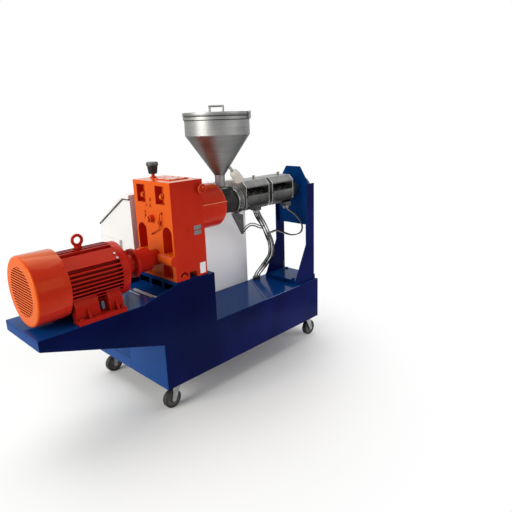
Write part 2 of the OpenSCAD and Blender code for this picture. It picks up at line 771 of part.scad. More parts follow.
// Split cover: hood above the side slot, tray with a rail along each edge below it
module cover_profile() {
    t = 3;
    rail = 8;
    w = cover_half_w;
    difference() {
        hood_outline(w, hood_up, cover_up, cover_bevel);
        hood_outline(w - t, hood_up - 1, cover_up - t, cover_bevel);
    }
    difference() {
        tray_outline(w, -cover_down, slot_up, tray_bevel);
        tray_outline(w - t, t - cover_down, slot_up + 1, tray_bevel);
    }
    for (s = [0, 1]) mirror([s, 0]) translate([w - 1, slot_up - rail - 2]) square([rail + 1, rail + 2]);
}
module heater_cover(i) {
    lug_x = zone_x(i) + 0.78 * zone_l;
    color(stainless) {
        along_x(zone_x(i)) translate([0, barrel_h]) linear_extrude(zone_l) cover_profile();
        translate([lug_x, axis_y, barrel_h + cover_up - 1]) cylinder(r = 6, h = 14);
        translate([lug_x, axis_y, barrel_h + cover_up + 12]) cylinder(r = 10, h = 5);
    }
}
module heater_cover_1() heater_cover(0);
module heater_cover_2() heater_cover(1);
module heater_terminals() {
    color(dark_steel) {
        for (t = terminals)
            translate([t.x - terminal_l / 2, t.y - 0.45 * terminal_l, terminal_z])
                cube([terminal_l, 0.9 * terminal_l, terminal_h]);
    }
}
module cable_bracket() {
    top = barrel_h - drum_r - fit_gap;
    tip = barrel_h - bracket_drop;
    color(dark_steel) side_plate(axis_y - 5, 10)
        polygon([
            [throat_x1, top], [drum_x1, top], [bracket_tip.x, top - 20], [bracket_tip.x, tip],
            [bracket_tip.x - 15, tip]
        ]);
}
module die_adapter() {
    color(dark_steel) along_x(adapter_x0) translate([0, barrel_h]) difference() {
        linear_extrude(adapter_l) circle(adapter_r);
        translate([0, 0, adapter_l - 30]) linear_extrude(31) circle(12);
        for (i = [0:5])
            rotate(60 * i) translate([adapter_pcr, 0, adapter_l - 25]) cylinder(r = adapter_hole_r, h = 26);
    }
}

// Hopper: shell with a bead below its rim, cone and hinged lid
bead_t = 6;
bead_h = 14;
bead_z = hopper_cyl_h - 34;
hinge_pin_l = 40;
catch_r = lid_r + 5.5;
neck_flange_r = neck_r + 20;
module hopper_shell() {
    color(stainless) translate([hopper_x, axis_y, cyl_z]) {
        rotate_extrude() polygon([
            [hopper_r - hopper_wall, 0], [hopper_r, 0], [hopper_r, bead_z], [hopper_r + bead_t, bead_z],
            [hopper_r + bead_t, bead_z + bead_h], [hopper_r, bead_z + bead_h], [hopper_r, hopper_cyl_h],
            [hopper_r - hopper_wall, hopper_cyl_h]
        ]);
        rotate(hinge_angle) {
            translate([hopper_r + 1, -18, bead_z + 2]) cube([hinge_r - hopper_r + 7, 36, bead_h - 4]);
            for (s = [-1, 1])
                translate([lid_r + 6, s * 14 - 4, bead_z + 4]) cube([hinge_r - lid_r + 2, 8, 38]);
            translate([hinge_r, 0, hopper_cyl_h]) rotate([90, 0, 0])
                cylinder(r = hinge_pin_r, h = hinge_pin_l, center = true);
        }
        rotate(catch_angle) {
            translate([hopper_r + 1, -9, bead_z + 2]) cube([catch_r - hopper_r + 3, 18, bead_h - 4]);
            translate([catch_r, -9, bead_z + 2]) cube([4, 18, hopper_cyl_h - bead_z + 3]);
        }
    }
}
paddle_up = 46;
paddle_r = neck_r + (hopper_r - neck_r) * paddle_up / hopper_cone_h - 1;
module hopper_cone() {
    color(stainless) translate([hopper_x, axis_y, seat_z]) rotate_extrude() {
        difference() {
            polygon([
                [0, 0], [neck_flange_r, 0], [neck_flange_r, 8], [neck_r, 8], [neck_r, neck_h],
                [hopper_r, neck_h + hopper_cone_h], [0, neck_h + hopper_cone_h]
            ]);
            polygon([
                [0, -1], [neck_r - hopper_wall, -1], [neck_r - hopper_wall, neck_h],
                [hopper_r - hopper_wall, neck_h + hopper_cone_h],
                [hopper_r - hopper_wall, neck_h + hopper_cone_h + 1],
                [0, neck_h + hopper_cone_h + 1]
            ]);
        }
    }
    color(stainless) translate([hopper_x, axis_y, cone_z + paddle_up]) rotate(paddle_angle)
        translate([paddle_r, 0, 0]) rotate([0, 142, 0]) {
            cylinder(r = 8, h = 34);
            translate([0, 3, 24]) rotate([90, 0, 0]) linear_extrude(6)
                polygon([
                    [-10, 0], [10, 0], [25, 16], [28, paddle_l - 16], [16, paddle_l], [-16, paddle_l],
                    [-28, paddle_l - 16], [-25, 16]
                ]);
        }
}
module hopper_lid() {
    color(stainless) translate([hopper_x, axis_y, rim_z + run_gap]) {
        cylinder(r = lid_r, h = 3);
        rotate_extrude() translate([lid_r - 2.5, -lid_skirt]) square([2.5, lid_skirt + 1]);
        rotate(hinge_angle) difference() {
            union() {
                translate([lid_r - 4, -9, 0]) cube([hinge_r - lid_r + 4, 18, 6]);
                translate([hinge_r, 9, -run_gap]) rotate([90, 0, 0]) cylinder(r = 9, h = 18);
            }
            translate([hinge_r, 10, -run_gap]) rotate([90, 0, 0]) cylinder(r = hinge_pin_r + pin_gap, h = 20);
        }
    }
}
module lid_handle() {
    color(stainless) translate([hopper_x, axis_y, rim_z + run_gap + 3]) rotate(hinge_angle + 90) {
        for (s = [-1, 1]) translate([s * (grip_l / 2 - grip_r), 0, 0]) cylinder(r = grip_r, h = grip_h);
        translate([-grip_l / 2, 0, grip_h]) rotate([0, 90, 0]) cylinder(r = grip_r, h = grip_l);
    }
}

// Swivel casters
pin_r = 8;
axle_r = 6;
plate_t = 6;
plate_z = caster_h - plate_t;
crown_t = 12;
crown_z = plate_z - run_gap - crown_t;
module caster_plates() {
    color(stainless) for (c = casters) translate([c.x, c.y, 0]) {
        translate([-caster_l / 2, -caster_w / 2, plate_z]) cube([caster_l, caster_w, plate_t]);
        translate([0, 0, crown_z - run_gap]) cylinder(r = pin_r, h = plate_z - crown_z + run_gap);
        translate([0, 0, crown_z - run_gap - 4]) cylinder(r = 13, h = 4);
    }
}
module caster_fork(c) {
    gap = wheel_w / 2 + 3;
    leg = 4;
    color(stainless) translate([c.x, c.y, 0]) rotate(c.z) {
        difference() {
            translate([0, 0, crown_z]) cylinder(r = 30, h = crown_t);
            translate([0, 0, crown_z - 1]) cylinder(r = pin_r + pin_gap, h = crown_t + 2);
        }
        for (s = [-1, 1]) side_plate(s * (gap + leg / 2) - leg / 2, leg) {
            polygon([[-22, crown_z + 6], [22, crown_z + 6], [trail + 13, wheel_r], [trail - 13, wheel_r]]);
            translate([trail, wheel_r]) circle(13);
        }
        translate([trail, 0, wheel_r]) rotate([90, 0, 0])
            cylinder(r = axle_r, h = 2 * (gap + leg + 4), center = true);
    }
}
module caster_wheel(c) {
    color(black) translate([c.x, c.y, 0]) rotate(c.z) translate([trail, 0, wheel_r]) rotate([90, 0, 0])
        rotate_extrude() polygon([
            [axle_r + pin_gap, -wheel_w / 2 - 2], [16, -wheel_w / 2 - 2], [18, -wheel_w / 2 + 4],
            [38, -wheel_w / 2 + 4], [40, -wheel_w / 2], [wheel_r - 4, -wheel_w / 2],
            [wheel_r, 4 - wheel_w / 2], [wheel_r, wheel_w / 2 - 4],
            [wheel_r - 4, wheel_w / 2], [40, wheel_w / 2], [38, wheel_w / 2 - 4],
            [18, wheel_w / 2 - 4], [16, wheel_w / 2 + 2], [axle_r + pin_gap, wheel_w / 2 + 2]
        ]);
}
module caster_fork_1() caster_fork(casters[0]);
module caster_fork_2() caster_fork(casters[1]);
module caster_fork_3() caster_fork(casters[2]);
module caster_fork_4() caster_fork(casters[3]);
module caster_wheel_1() caster_wheel(casters[0]);
module caster_wheel_2() caster_wheel(casters[1]);
module caster_wheel_3() caster_wheel(casters[2]);
module caster_wheel_4() caster_wheel(casters[3]);

// Cables from the heaters into the base
module cable_gland() {
    color(black) translate([gland_x, gland_y, deck_z]) cylinder(r = gland_r, h = gland_h);
}
module cable_bundle() { color(black) tube(bundle_route, bundle_r, [0, 0, -1], [0, 0, -1]); }
module probe_hose() {
    color(stainless) tube(hose_route, hose_r, [0, 0, -1], heading(hose_route, len(hose_route) - 1));
}
module bracket_cable() {
    color(black) tube(bracket_route, bracket_r, [1, 0, 0], heading(bracket_route, len(bracket_route) - 1));
}

place() base_near_panel();
place() base_far_panel();
place() base_left_panel();
place() base_right_panel();
place() base_top_plate();
place() base_floor();
place() bed_top_plate();
place() bed_end_plate();
place() bed_under_plate();
place() pedestal_front_frame();
place() pedestal_cover();
place() pedestal_right_plate();
place() gearbox_sole_plate();
place() deck_plate();
place() stand_foot();
place() stand_near_plate();
place() stand_far_plate();
place() stand_cross_plate();
place() console_plinth();
place() console_body();
place() console_desk();
place() console_doors();
place() motor_frame();
place() motor_cowl();
place() motor_end_shield();
place() motor_terminal_box();
place() motor_eye_bolt();
place() coupling_drum();
place() gearbox_housing();
place() gearbox_cover();
place() gearbox_output_housing();
place() gearbox_breather();
place() gearbox_lifting_eye();
place() feed_throat();
place() barrel();
place() barrel_flange_drum();
place() heater_bands();
place() heater_cover_1();
place() heater_cover_2();
place() heater_end_plates();
place() heater_terminals();
place() cable_bracket();
place() die_adapter();
place() hopper_shell();
place() hopper_cone();
place() hopper_lid();
place() lid_handle();
place() caster_plates();
place() caster_fork_1();
place() caster_fork_2();
place() caster_fork_3();
place() caster_fork_4();
place() caster_wheel_1();
place() caster_wheel_2();
place() caster_wheel_3();
place() caster_wheel_4();
place() cable_gland();
place() cable_bundle();
place() probe_hose();
place() bracket_cable();
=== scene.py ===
"""Looks of the industrial extruder: finishes on the CAD nodes, detail pieces, cords, studio and camera."""

import math

import bmesh
import bpy
from mathutils import Matrix, Vector


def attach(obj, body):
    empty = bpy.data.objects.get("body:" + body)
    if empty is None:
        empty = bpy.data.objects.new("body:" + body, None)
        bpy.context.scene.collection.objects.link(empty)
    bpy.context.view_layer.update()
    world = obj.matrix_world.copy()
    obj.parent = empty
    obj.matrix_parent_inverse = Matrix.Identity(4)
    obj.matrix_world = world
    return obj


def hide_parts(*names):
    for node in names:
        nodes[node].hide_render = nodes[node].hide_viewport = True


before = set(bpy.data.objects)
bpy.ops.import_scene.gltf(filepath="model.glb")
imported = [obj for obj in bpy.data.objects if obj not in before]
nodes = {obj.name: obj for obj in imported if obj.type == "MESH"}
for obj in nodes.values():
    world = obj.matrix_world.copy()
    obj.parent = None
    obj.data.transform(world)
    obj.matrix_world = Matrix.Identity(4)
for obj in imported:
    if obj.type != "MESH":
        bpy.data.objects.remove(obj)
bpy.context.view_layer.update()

# The frame's origin in machine millimetres, which count from the base's left end, near side and floor
CX, CY = 355.0, 333.0
# Height of the barrel's and the motor's axis, and the y that both share
BARREL_Z = 1008.0
MOTOR_Z = 796.0
AXIS_Y = 158.0
X, Y, Z = Vector((1, 0, 0)), Vector((0, 1, 0)), Vector((0, 0, 1))


def metres(p):
    return Vector(((p[0] - CX) / 1000, (p[1] - CY) / 1000, p[2] / 1000))


# ---------- materials ----------
# Sockets of a Mix node that mixes colours
MIX_FACTOR, MIX_A, MIX_B, MIX_COLOUR = 0, 6, 7, 2
PURE_BLACK, PURE_WHITE = (0, 0, 0, 1), (1, 1, 1, 1)


def srgb(r, g, b):
    def lin(c):
        c /= 255
        return c / 12.92 if c <= 0.04045 else ((c + 0.055) / 1.055) ** 2.4

    return (lin(r), lin(g), lin(b), 1)


class Mat:
    """A Principled material with helpers for procedural colour, roughness and relief."""

    def __init__(self, name, rough=0.4, metal=0.0):
        self.m = bpy.data.materials.new(name)
        self.m.use_nodes = True
        self.t = self.m.node_tree
        self.b = self.t.nodes["Principled BSDF"]
        self.b.inputs["Roughness"].default_value = rough
        self.b.inputs["Metallic"].default_value = metal
        self.coords = self.t.nodes.new("ShaderNodeTexCoord")

    def node(self, kind, **inputs):
        n = self.t.nodes.new(kind)
        for k, v in inputs.items():
            n.inputs[k.replace("_", " ")].default_value = v
        return n

    def link(self, a, b):
        self.t.links.new(a, b)

    def noise(self, scale, stretch=(1, 1, 1), detail=3.0):
        mapping = self.node("ShaderNodeMapping", Scale=stretch)
        self.link(self.coords.outputs["Object"], mapping.inputs["Vector"])
        n = self.node("ShaderNodeTexNoise", Scale=scale, Detail=detail)
        self.link(mapping.outputs["Vector"], n.inputs["Vector"])
        return n.outputs["Fac"]

    def math(self, operation, a, b=0.0, c=0.0):
        """A Math node; each of a, b and c is a float or another node's output."""
        n = self.t.nodes.new("ShaderNodeMath")
        n.operation = operation
        for sock, v in zip(n.inputs, (a, b, c)):
            if isinstance(v, float):
                sock.default_value = v
            else:
                self.link(v, sock)
        return n.outputs[0]

    def span(self, value, start, end, lo=0.0, hi=1.0, smooth=False):
        """The value taken from start..end to lo..hi and held there outside."""
        n = self.node("ShaderNodeMapRange", From_Min=start, From_Max=end, To_Min=lo, To_Max=hi)
        if smooth:
            n.interpolation_type = "SMOOTHSTEP"
        self.link(value, n.inputs["Value"])
        return n.outputs["Result"]

    def along(self, vector, axis):
        """One coordinate of a vector."""
        n = self.node("ShaderNodeSeparateXYZ")
        self.link(vector, n.inputs[0])
        return n.outputs[axis]

    def ramp(self, fac, stops):
        n = self.node("ShaderNodeValToRGB")
        e = n.color_ramp.elements
        e[0].position, e[0].color = stops[0]
        e[1].position, e[1].color = stops[-1]
        for pos, col in stops[1:-1]:
            e.new(pos).color = col
        self.link(fac, n.inputs["Fac"])
        return n.outputs["Color"]

    def mix(self, fac, a, b):
        n = self.t.nodes.new("ShaderNodeMix")
        n.data_type = "RGBA"
        for sock, v in ((n.inputs[MIX_A], a), (n.inputs[MIX_B], b)):
            if isinstance(v, tuple):
                sock.default_value = v
            else:
                self.link(v, sock)
        self.link(fac, n.inputs[MIX_FACTOR])
        return n.outputs[MIX_COLOUR]

    def colour(self, out):
        self.link(out, self.b.inputs["Base Color"])

    def roughness(self, fac, lo, hi):
        self.link(self.span(fac, 0.0, 1.0, lo, hi), self.b.inputs["Roughness"])

    def relief(self, *layers):
        """Each layer: (height output, strength, distance)."""
        last = None
        for height, strength, dist in layers:
            n = self.node("ShaderNodeBump", Strength=strength, Distance=dist)
            self.link(height, n.inputs["Height"])
            if last:
                self.link(last, n.inputs["Normal"])
            last = n.outputs["Normal"]
        self.link(last, self.b.inputs["Normal"])


# Noise scales of a paint's colour drift, dust, uneven gloss, orange peel and cast sand texture
DRIFT, DUST, GLOSS, PEEL, SAND = 2.2, 38, 14, 320, 75
# Depth in metres of the orange peel, of the sand texture and of the fine grain of other materials
PEEL_DEPTH, SAND_DEPTH, GRAIN_DEPTH = 0.0004, 0.0012, 0.0003
# Axis of a face's normal, where the painted light of lit faces begins along it and where it is full
DAYLIT = (("X", -0.2, -0.95), ("Z", 0.8, 0.99))
# Reach in metres of the painted shade and light in corners and recesses, and the openness over which it
# ends
RECESS_REACH, RECESS_ENDS = 0.022, (0.25, 0.75)
# Width in metres of the edge of the painted light on a back
BACK_BLEND = 0.002


def paint(
    name, dark, base, light, rough, peel,
    cast=0.0, spec=0.3, tint=PURE_WHITE, back=None, painted_lit=None, painted_recess=None,
):
    """Sprayed enamel: slow colour drift, faint dust, orange peel and, on castings, sand texture.

    The gloss has the tint. A back is (y in m, colour): nearer than that y the paint has the colour,
    painted light on a face in shade.
    Faces turned up or to -X, where the light comes from, take a lighter colour: painted light. Corners and
    recesses take another colour: painted shade where it is darker than the paint, painted light where it
    is lighter.
    """
    m = Mat(name, rough)
    m.b.inputs["Specular IOR Level"].default_value = spec
    m.b.inputs["Specular Tint"].default_value = tint
    col = m.ramp(m.noise(DRIFT, detail=4), [(0.3, dark), (0.5, base), (0.75, light)])
    specks = m.ramp(m.noise(DUST, detail=6), [(0.62, PURE_BLACK), (0.8, (0.28, 0.28, 0.28, 1))])
    col = m.mix(specks, col, light)
    # Painted light: faces turned up or to -X take a lighter colour
    if painted_lit:
        normal = m.node("ShaderNodeNewGeometry").outputs["Normal"]
        turned = [m.span(m.along(normal, axis), start, full) for axis, start, full in DAYLIT]
        col = m.mix(m.math("MAXIMUM", *turned), col, painted_lit)
    # Painted shade and light: corners and recesses, found by ambient occlusion, take another colour
    if painted_recess:
        corner = m.node("ShaderNodeAmbientOcclusion", Distance=RECESS_REACH)
        col = m.mix(m.span(corner.outputs["AO"], *RECESS_ENDS), painted_recess, col)
    # Painted light: the face nearer than the given y takes a lighter colour
    if back:
        edge, behind = back
        y = m.along(m.coords.outputs["Object"], "Y")
        col = m.mix(m.span(y, edge, edge - BACK_BLEND), col, behind)
    m.colour(col)
    m.roughness(m.noise(GLOSS, detail=5), rough - 0.05, rough + 0.08)
    layers = [(m.noise(PEEL, detail=2), peel, PEEL_DEPTH)]
    if cast:
        layers.append((m.noise(SAND, detail=6), cast, SAND_DEPTH))
    m.relief(*layers)
    return m.m


def metal(name, dark, light, rough, stretch, scale, relief, metallic=1.0, darker_below=None):
    """Brushed or rolled metal: streaks along the grain and cloudy roughness.

    The last argument is (height in m, depth in m, colour): below that height the metal darkens to the
    colour.
    """
    m = Mat(name, rough, metallic)
    grain = m.noise(scale, stretch, detail=4)
    clouds = m.noise(9, detail=5)
    mean = m.math("MULTIPLY", m.math("ADD", grain, clouds), 0.5)
    col = m.ramp(mean, [(0.36, dark), (0.66, light)])
    if darker_below:
        height, depth, tint = darker_below
        z = m.along(m.coords.outputs["Object"], "Z")
        col = m.mix(m.span(z, height, height - depth), col, tint)
    m.colour(col)
    m.roughness(clouds, rough - 0.06, rough + 0.12)
    m.relief((grain, relief, GRAIN_DEPTH))
    return m.m


def plain(name, dark, light, rough, scale, relief, metallic=0.0, spec=0.5):
    """Moulded plastic or rubber: mottled colour and a fine moulded grain."""
    m = Mat(name, rough, metallic)
    m.b.inputs["Specular IOR Level"].default_value = spec
    m.colour(m.ramp(m.noise(scale, detail=5), [(0.35, dark), (0.7, light)]))
    m.roughness(m.noise(25, detail=4), rough - 0.08, rough + 0.1)
    m.relief((m.noise(600, detail=3), relief, GRAIN_DEPTH))
    return m.m


def braid_material():
    """Steel braid over a dark hose: two crossed sets of wires along the tube's own length."""
    m = Mat("hose_braid", 0.34, 0.85)
    wires = []
    for turn in (0.7, -0.7):
        mapping = m.node("ShaderNodeMapping", Scale=(260, 9, 1), Rotation=(0, 0, turn))
        m.link(m.coords.outputs["UV"], mapping.inputs["Vector"])
        w = m.node("ShaderNodeTexWave", Scale=1.0, Distortion=0.4)
        m.link(mapping.outputs["Vector"], w.inputs["Vector"])
        wires.append(w.outputs["Fac"])
    height = m.math("MAXIMUM", *wires)
    m.colour(m.ramp(height, [(0.45, srgb(22, 22, 23)), (0.85, srgb(196, 196, 194))]))
    m.relief((height, 0.5, 0.0006))
    return m.m


# In the paints below, the colour given for faces turned to the light is painted light
NAVY = paint(
    "navy_paint", srgb(8, 8, 50), srgb(11, 12, 62), srgb(18, 23, 88), 0.12, 0.012,
    spec=0.08, tint=(0.05, 0.6, 1, 1), painted_lit=srgb(10, 60, 126),
)
ORANGE_GLOSS = (1, 0.62, 0.12, 1)
# Painted shade in the gaps between fins and in other recesses
FIN_GAP_SHADE = srgb(104, 12, 13)
ORANGE = paint(
    "orange_paint", srgb(180, 34, 24), srgb(192, 41, 26), srgb(206, 56, 29), 0.12, 0.012,
    spec=0.2, tint=ORANGE_GLOSS, painted_lit=srgb(210, 92, 26), painted_recess=FIN_GAP_SHADE,
)
# The castings' recesses take a brighter red: painted light
CAST = paint(
    "orange_cast_paint", srgb(176, 31, 23), srgb(189, 38, 25), srgb(204, 54, 28), 0.13, 0.012,
    cast=0.02, spec=0.2, tint=ORANGE_GLOSS, painted_lit=srgb(212, 88, 24), painted_recess=srgb(212, 40, 30),
)
# The motor's casting is redder, with painted shade darkening the gaps between its fins
MOTOR = paint(
    "motor_cast_paint", srgb(166, 25, 22), srgb(178, 30, 24), srgb(192, 42, 27), 0.13, 0.012,
    cast=0.02, spec=0.12, tint=(1, 0.5, 0.2, 1), painted_lit=srgb(186, 40, 26), painted_recess=FIN_GAP_SHADE,
)
# The console's near back face takes a lighter colour: painted light
PALE = paint(
    "pale_paint", srgb(212, 213, 214), srgb(220, 220, 220), srgb(226, 226, 225), 0.4, 0.06,
    back=(0.022, srgb(244, 244, 245)),
)
STAINLESS = metal("stainless", srgb(124, 124, 124), srgb(160, 160, 159), 0.4, (1.5, 1.5, 240), 3, 0.05)
COVER = metal(
    "cover_steel", srgb(108, 108, 107), srgb(156, 156, 154), 0.36, (160, 2, 2), 3, 0.08,
    darker_below=(1.03, 0.05, srgb(58, 58, 58)),
)
ENDPLATE = metal("end_plate_steel", srgb(165, 165, 163), srgb(214, 214, 210), 0.3, (2, 2, 120), 3, 0.05)
DARK = metal("dark_steel", srgb(62, 62, 64), srgb(104, 104, 106), 0.4, (60, 60, 60), 2, 0.12, 0.75)
DRUM = metal("drum_steel", srgb(82, 82, 83), srgb(124, 124, 124), 0.36, (60, 60, 60), 2, 0.08)
BAND = metal("band_steel", srgb(24, 24, 25), srgb(54, 52, 50), 0.5, (90, 20, 20), 2, 0.1, 0.6)
ZINC = metal("zinc", srgb(138, 140, 142), srgb(186, 187, 188), 0.34, (24, 24, 24), 5, 0.1)
PLATE = metal("blank_plate", srgb(120, 122, 124), srgb(170, 172, 172), 0.35, (90, 2, 2), 3, 0.04)
RUBBER = plain("wheel_rubber", srgb(15, 15, 16), srgb(38, 37, 36), 0.62, 60, 0.2)
HUB = plain("wheel_hub", srgb(52, 51, 50), srgb(78, 76, 74), 0.45, 40, 0.12)
BLACK = plain("black_plastic", srgb(16, 16, 18), srgb(34, 34, 37), 0.38, 30, 0.12)
CABLE = plain("cable_rubber", srgb(11, 11, 12), srgb(26, 26, 27), 0.3, 90, 0.08, spec=0.25)
CREAM = plain("cream_paint", srgb(188, 187, 180), srgb(212, 211, 204), 0.45, 30, 0.06)
WHITE = plain("white_label", srgb(214, 215, 214), srgb(238, 238, 236), 0.5, 60, 0.05)
GLASS = plain("dark_glass", srgb(8, 10, 12), srgb(20, 24, 28), 0.12, 4, 0.01)
RED = plain("red_plastic", srgb(150, 12, 14), srgb(190, 22, 20), 0.3, 30, 0.05)
GREEN = plain("green_plastic", srgb(14, 96, 44), srgb(24, 128, 62), 0.3, 30, 0.05)
# Light blue of the painted highlights along the deck's edges
DECK_HIGHLIGHT = plain("deck_highlight_paint", srgb(64, 88, 142), srgb(120, 146, 190), 0.4, 80, 0.1)
# Near-white steel of the bed bars, partly a painted highlight
BAR = plain("bright_bar", srgb(206, 208, 210), srgb(232, 233, 234), 0.35, 40, 0.05, 0.3)
# Light orange of the painted highlight on the output housing's ledge
LEDGE_HIGHLIGHT = plain("orange_ledge_highlight", srgb(214, 96, 54), srgb(240, 150, 104), 0.35, 60, 0.05)
BRAID = braid_material()


# ---------- mesh helpers, all in machine millimetres ----------
def basis(direction):
    """Two directions square to the given one and to each other, and the given one."""
    d = Vector(direction).normalized()
    side = d.cross(Z if abs(d.z) < 0.9 else X).normalized()
    return side, d.cross(side).normalized(), d


def turns(count):
    """Angles of so many equal steps round a circle."""
    return [2 * math.pi * k / count for k in range(count)]


class Shape:
    """A mesh under construction; piece() turns it into an object."""

    def __init__(self):
        self.bm = bmesh.new()
        self.uv = self.bm.loops.layers.uv.new("UVMap")

    def soften(self, edges, width):
        """Bevels each edge once, in the order given, so that every run makes the same mesh."""
        edges = list(dict.fromkeys(edges))
        bmesh.ops.bevel(self.bm, geom=edges, offset=width, segments=2, affect="EDGES", profile=0.5)

    def block(self, lo, hi, bevel):
        lo, hi = Vector(lo), Vector(hi)
        m = Matrix.Translation((lo + hi) / 2) @ Matrix.Diagonal((*(hi - lo), 1))
        made = bmesh.ops.create_cube(self.bm, size=1, matrix=m)
        self.soften([e for v in made["verts"] for e in v.link_edges], bevel)
        return self

    def turned(self, at, direction, profile, segments=32):
        """Solid of revolution: profile is (radius, height) from bottom axis point to top axis point."""
        side, up, d = basis(direction)
        at = Vector(at)
        rings = []
        for r, h in profile:
            if r <= 1e-6:
                rings.append([self.bm.verts.new(at + d * h)])
                continue
            rings.append([
                self.bm.verts.new(at + d * h + r * (math.cos(a) * side + math.sin(a) * up))
                for a in turns(segments)
            ])
        for a, b in zip(rings, rings[1:]):
            for k in range(segments):
                n = (k + 1) % segments
                quad = [a[k % len(a)], a[n % len(a)], b[n % len(b)], b[k % len(b)]]
                face = list(dict.fromkeys(quad))
                if len(face) > 2:
                    self.bm.faces.new(face)
        return self

    def ring(self, at, direction, inner, outer, h0, h1, segments):
        profile = [(inner, h0), (outer, h0), (outer, h1), (inner, h1), (inner, h0)]
        return self.turned(at, direction, profile, segments)

    def bolt(self, at, direction, d, washer=True):
        """Hex head with a chamfer on a washer; d is the thread size."""
        h0 = 0.0
        if washer:
            h0 = 0.16 * d
            rim = [(0, 0), (1.12 * d, 0), (1.12 * d, h0 * 0.8), (1.05 * d, h0), (0, h0)]
            self.turned(at, direction, rim, 24)
        shoulder, top = h0 + 0.52 * d, h0 + 0.62 * d
        head = [(0, h0), (0.9 * d, h0), (0.9 * d, shoulder), (0.76 * d, top), (0, top)]
        return self.turned(at, direction, head, 6)

    def cap_screw(self, at, direction, d):
        """Socket head with a recess."""
        r, h = 0.78 * d, 0.85 * d
        floor_h = h * 0.45
        outside = [(0, 0), (r, 0), (r, h * 0.88), (r * 0.9, h)]
        recess = [(r * 0.52, h), (r * 0.5, floor_h), (0, floor_h)]
        return self.turned(at, direction, outside + recess, 18)

    def tube(self, points, r, sides=12, closed=False):
        """Round bar or hose through the points, with u along its length and v around it."""
        pts = [Vector(p) for p in points]
        n = len(pts)
        side = None
        rings, lengths = [], [0.0]
        for i in range(1, n):
            lengths.append(lengths[-1] + (pts[i] - pts[i - 1]).length)
        for i, p in enumerate(pts):
            if closed:
                d = (pts[(i + 1) % n] - pts[i - 1]).normalized()
            else:
                d = (pts[min(i + 1, n - 1)] - pts[max(i - 1, 0)]).normalized()
            if side is None:
                side = basis(d)[0]
            side = (side - d * side.dot(d)).normalized()
            up = d.cross(side)
            rings.append([
                self.bm.verts.new(p + r * (math.cos(a) * side + math.sin(a) * up)) for a in turns(sides)
            ])
        pairs = list(zip(rings, rings[1:]))
        if closed:
            pairs.append((rings[-1], rings[0]))
        for i, (a, b) in enumerate(pairs):
            for k in range(sides):
                f = self.bm.faces.new([a[k], a[(k + 1) % sides], b[(k + 1) % sides], b[k]])
                u0, u1 = lengths[i] / 1000, lengths[min(i + 1, n - 1)] / 1000
                v0, v1 = k / sides, (k + 1) / sides
                for loop, uv in zip(f.loops, ((u0, v0), (u0, v1), (u1, v1), (u1, v0))):
                    loop[self.uv].uv = uv
        if not closed:
            self.bm.faces.new(list(reversed(rings[0])))
            self.bm.faces.new(rings[-1])
        return self

    def prism(self, outline, at, axis_u, axis_v, depth, bevel=0.0):
        """Flat plate: outline in (u, v) from at, extruded by depth along u x v."""
        at, u, v = Vector(at), Vector(axis_u), Vector(axis_v)
        d = u.cross(v).normalized() * depth
        low = [self.bm.verts.new(at + u * a + v * b) for a, b in outline]
        high = [self.bm.verts.new(w.co + d) for w in low]
        n = len(outline)
        faces = [self.bm.faces.new(list(reversed(low))), self.bm.faces.new(high)]
        for k in range(n):
            faces.append(self.bm.faces.new([low[k], low[(k + 1) % n], high[(k + 1) % n], high[k]]))
        if bevel:
            self.soften([e for f in faces for e in f.edges], bevel)
        return self

    def piece(self, name, material, slot, body="machine", smooth=34):
        bmesh.ops.recalc_face_normals(self.bm, faces=self.bm.faces)
        for v in self.bm.verts:
            v.co = metres(v.co)
        mesh = bpy.data.meshes.new(name)
        self.bm.to_mesh(mesh)
        self.bm.free()
        mesh.polygons.foreach_set("use_smooth", [True] * len(mesh.polygons))
        mesh.set_sharp_from_angle(angle=math.radians(smooth))
        mesh.materials.append(material)
        obj = bpy.data.objects.new(name, mesh)
        bpy.context.scene.collection.objects.link(obj)
        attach(obj, body)
        return obj


def spline(points, step):
    """Points about every step mm on a smooth curve through the given ones."""
    pts = [Vector(p) for p in points]
    ext = [2 * pts[0] - pts[1], *pts, 2 * pts[-1] - pts[-2]]
    out = []
    for i in range(len(pts) - 1):
        a, b, c, d = ext[i : i + 4]
        count = max(2, round((c - b).length / step))
        for k in range(count):
            t = k / count
            linear, square, cube = c - a, 2 * a - 5 * b + 4 * c - d, 3 * b - a - 3 * c + d
            out.append(0.5 * (2 * b + linear * t + square * t * t + cube * t**3))
    out.append(pts[-1])
    return out


def rounded(w, h, r, steps=4):
    """Outline of a rectangle with round corners, from its lower left corner."""
    out = []
    for cx, cy, turn in ((w - r, r, -90), (w - r, h - r, 0), (r, h - r, 90), (r, r, 180)):
        for k in range(steps + 1):
            a = math.radians(turn + 90 * k / steps)
            out.append((cx + r * math.cos(a), cy + r * math.sin(a)))
    return out


def circle_points(centre, direction, r, count, turn=0.0):
    """Points evenly spaced on a circle square to the direction."""
    side, up, _ = basis(direction)
    return [
        Vector(centre) + r * (math.cos(a) * side + math.sin(a) * up)
        for a in (math.radians(turn) + step for step in turns(count))
    ]


def riveted_plate(name, material, slot, at, size, thick=1.2, rivet=2.2):
    """Blank upright plate with round corners and, unless rivet is 0, a rivet in each."""
    w, h = size
    shape = Shape().prism(rounded(w, h, 3), at, X, Z, thick)
    if rivet:
        inset = 5
        head = [(0, 0), (rivet, 0), (rivet, thick + 0.5), (0.6 * rivet, thick + 1.2), (0, thick + 1.3)]
        for a in (inset, w - inset):
            for b in (inset, h - inset):
                shape.turned(Vector(at) + X * a + Z * b, X.cross(Z), head, 10)
    return shape.piece(name, material, slot)


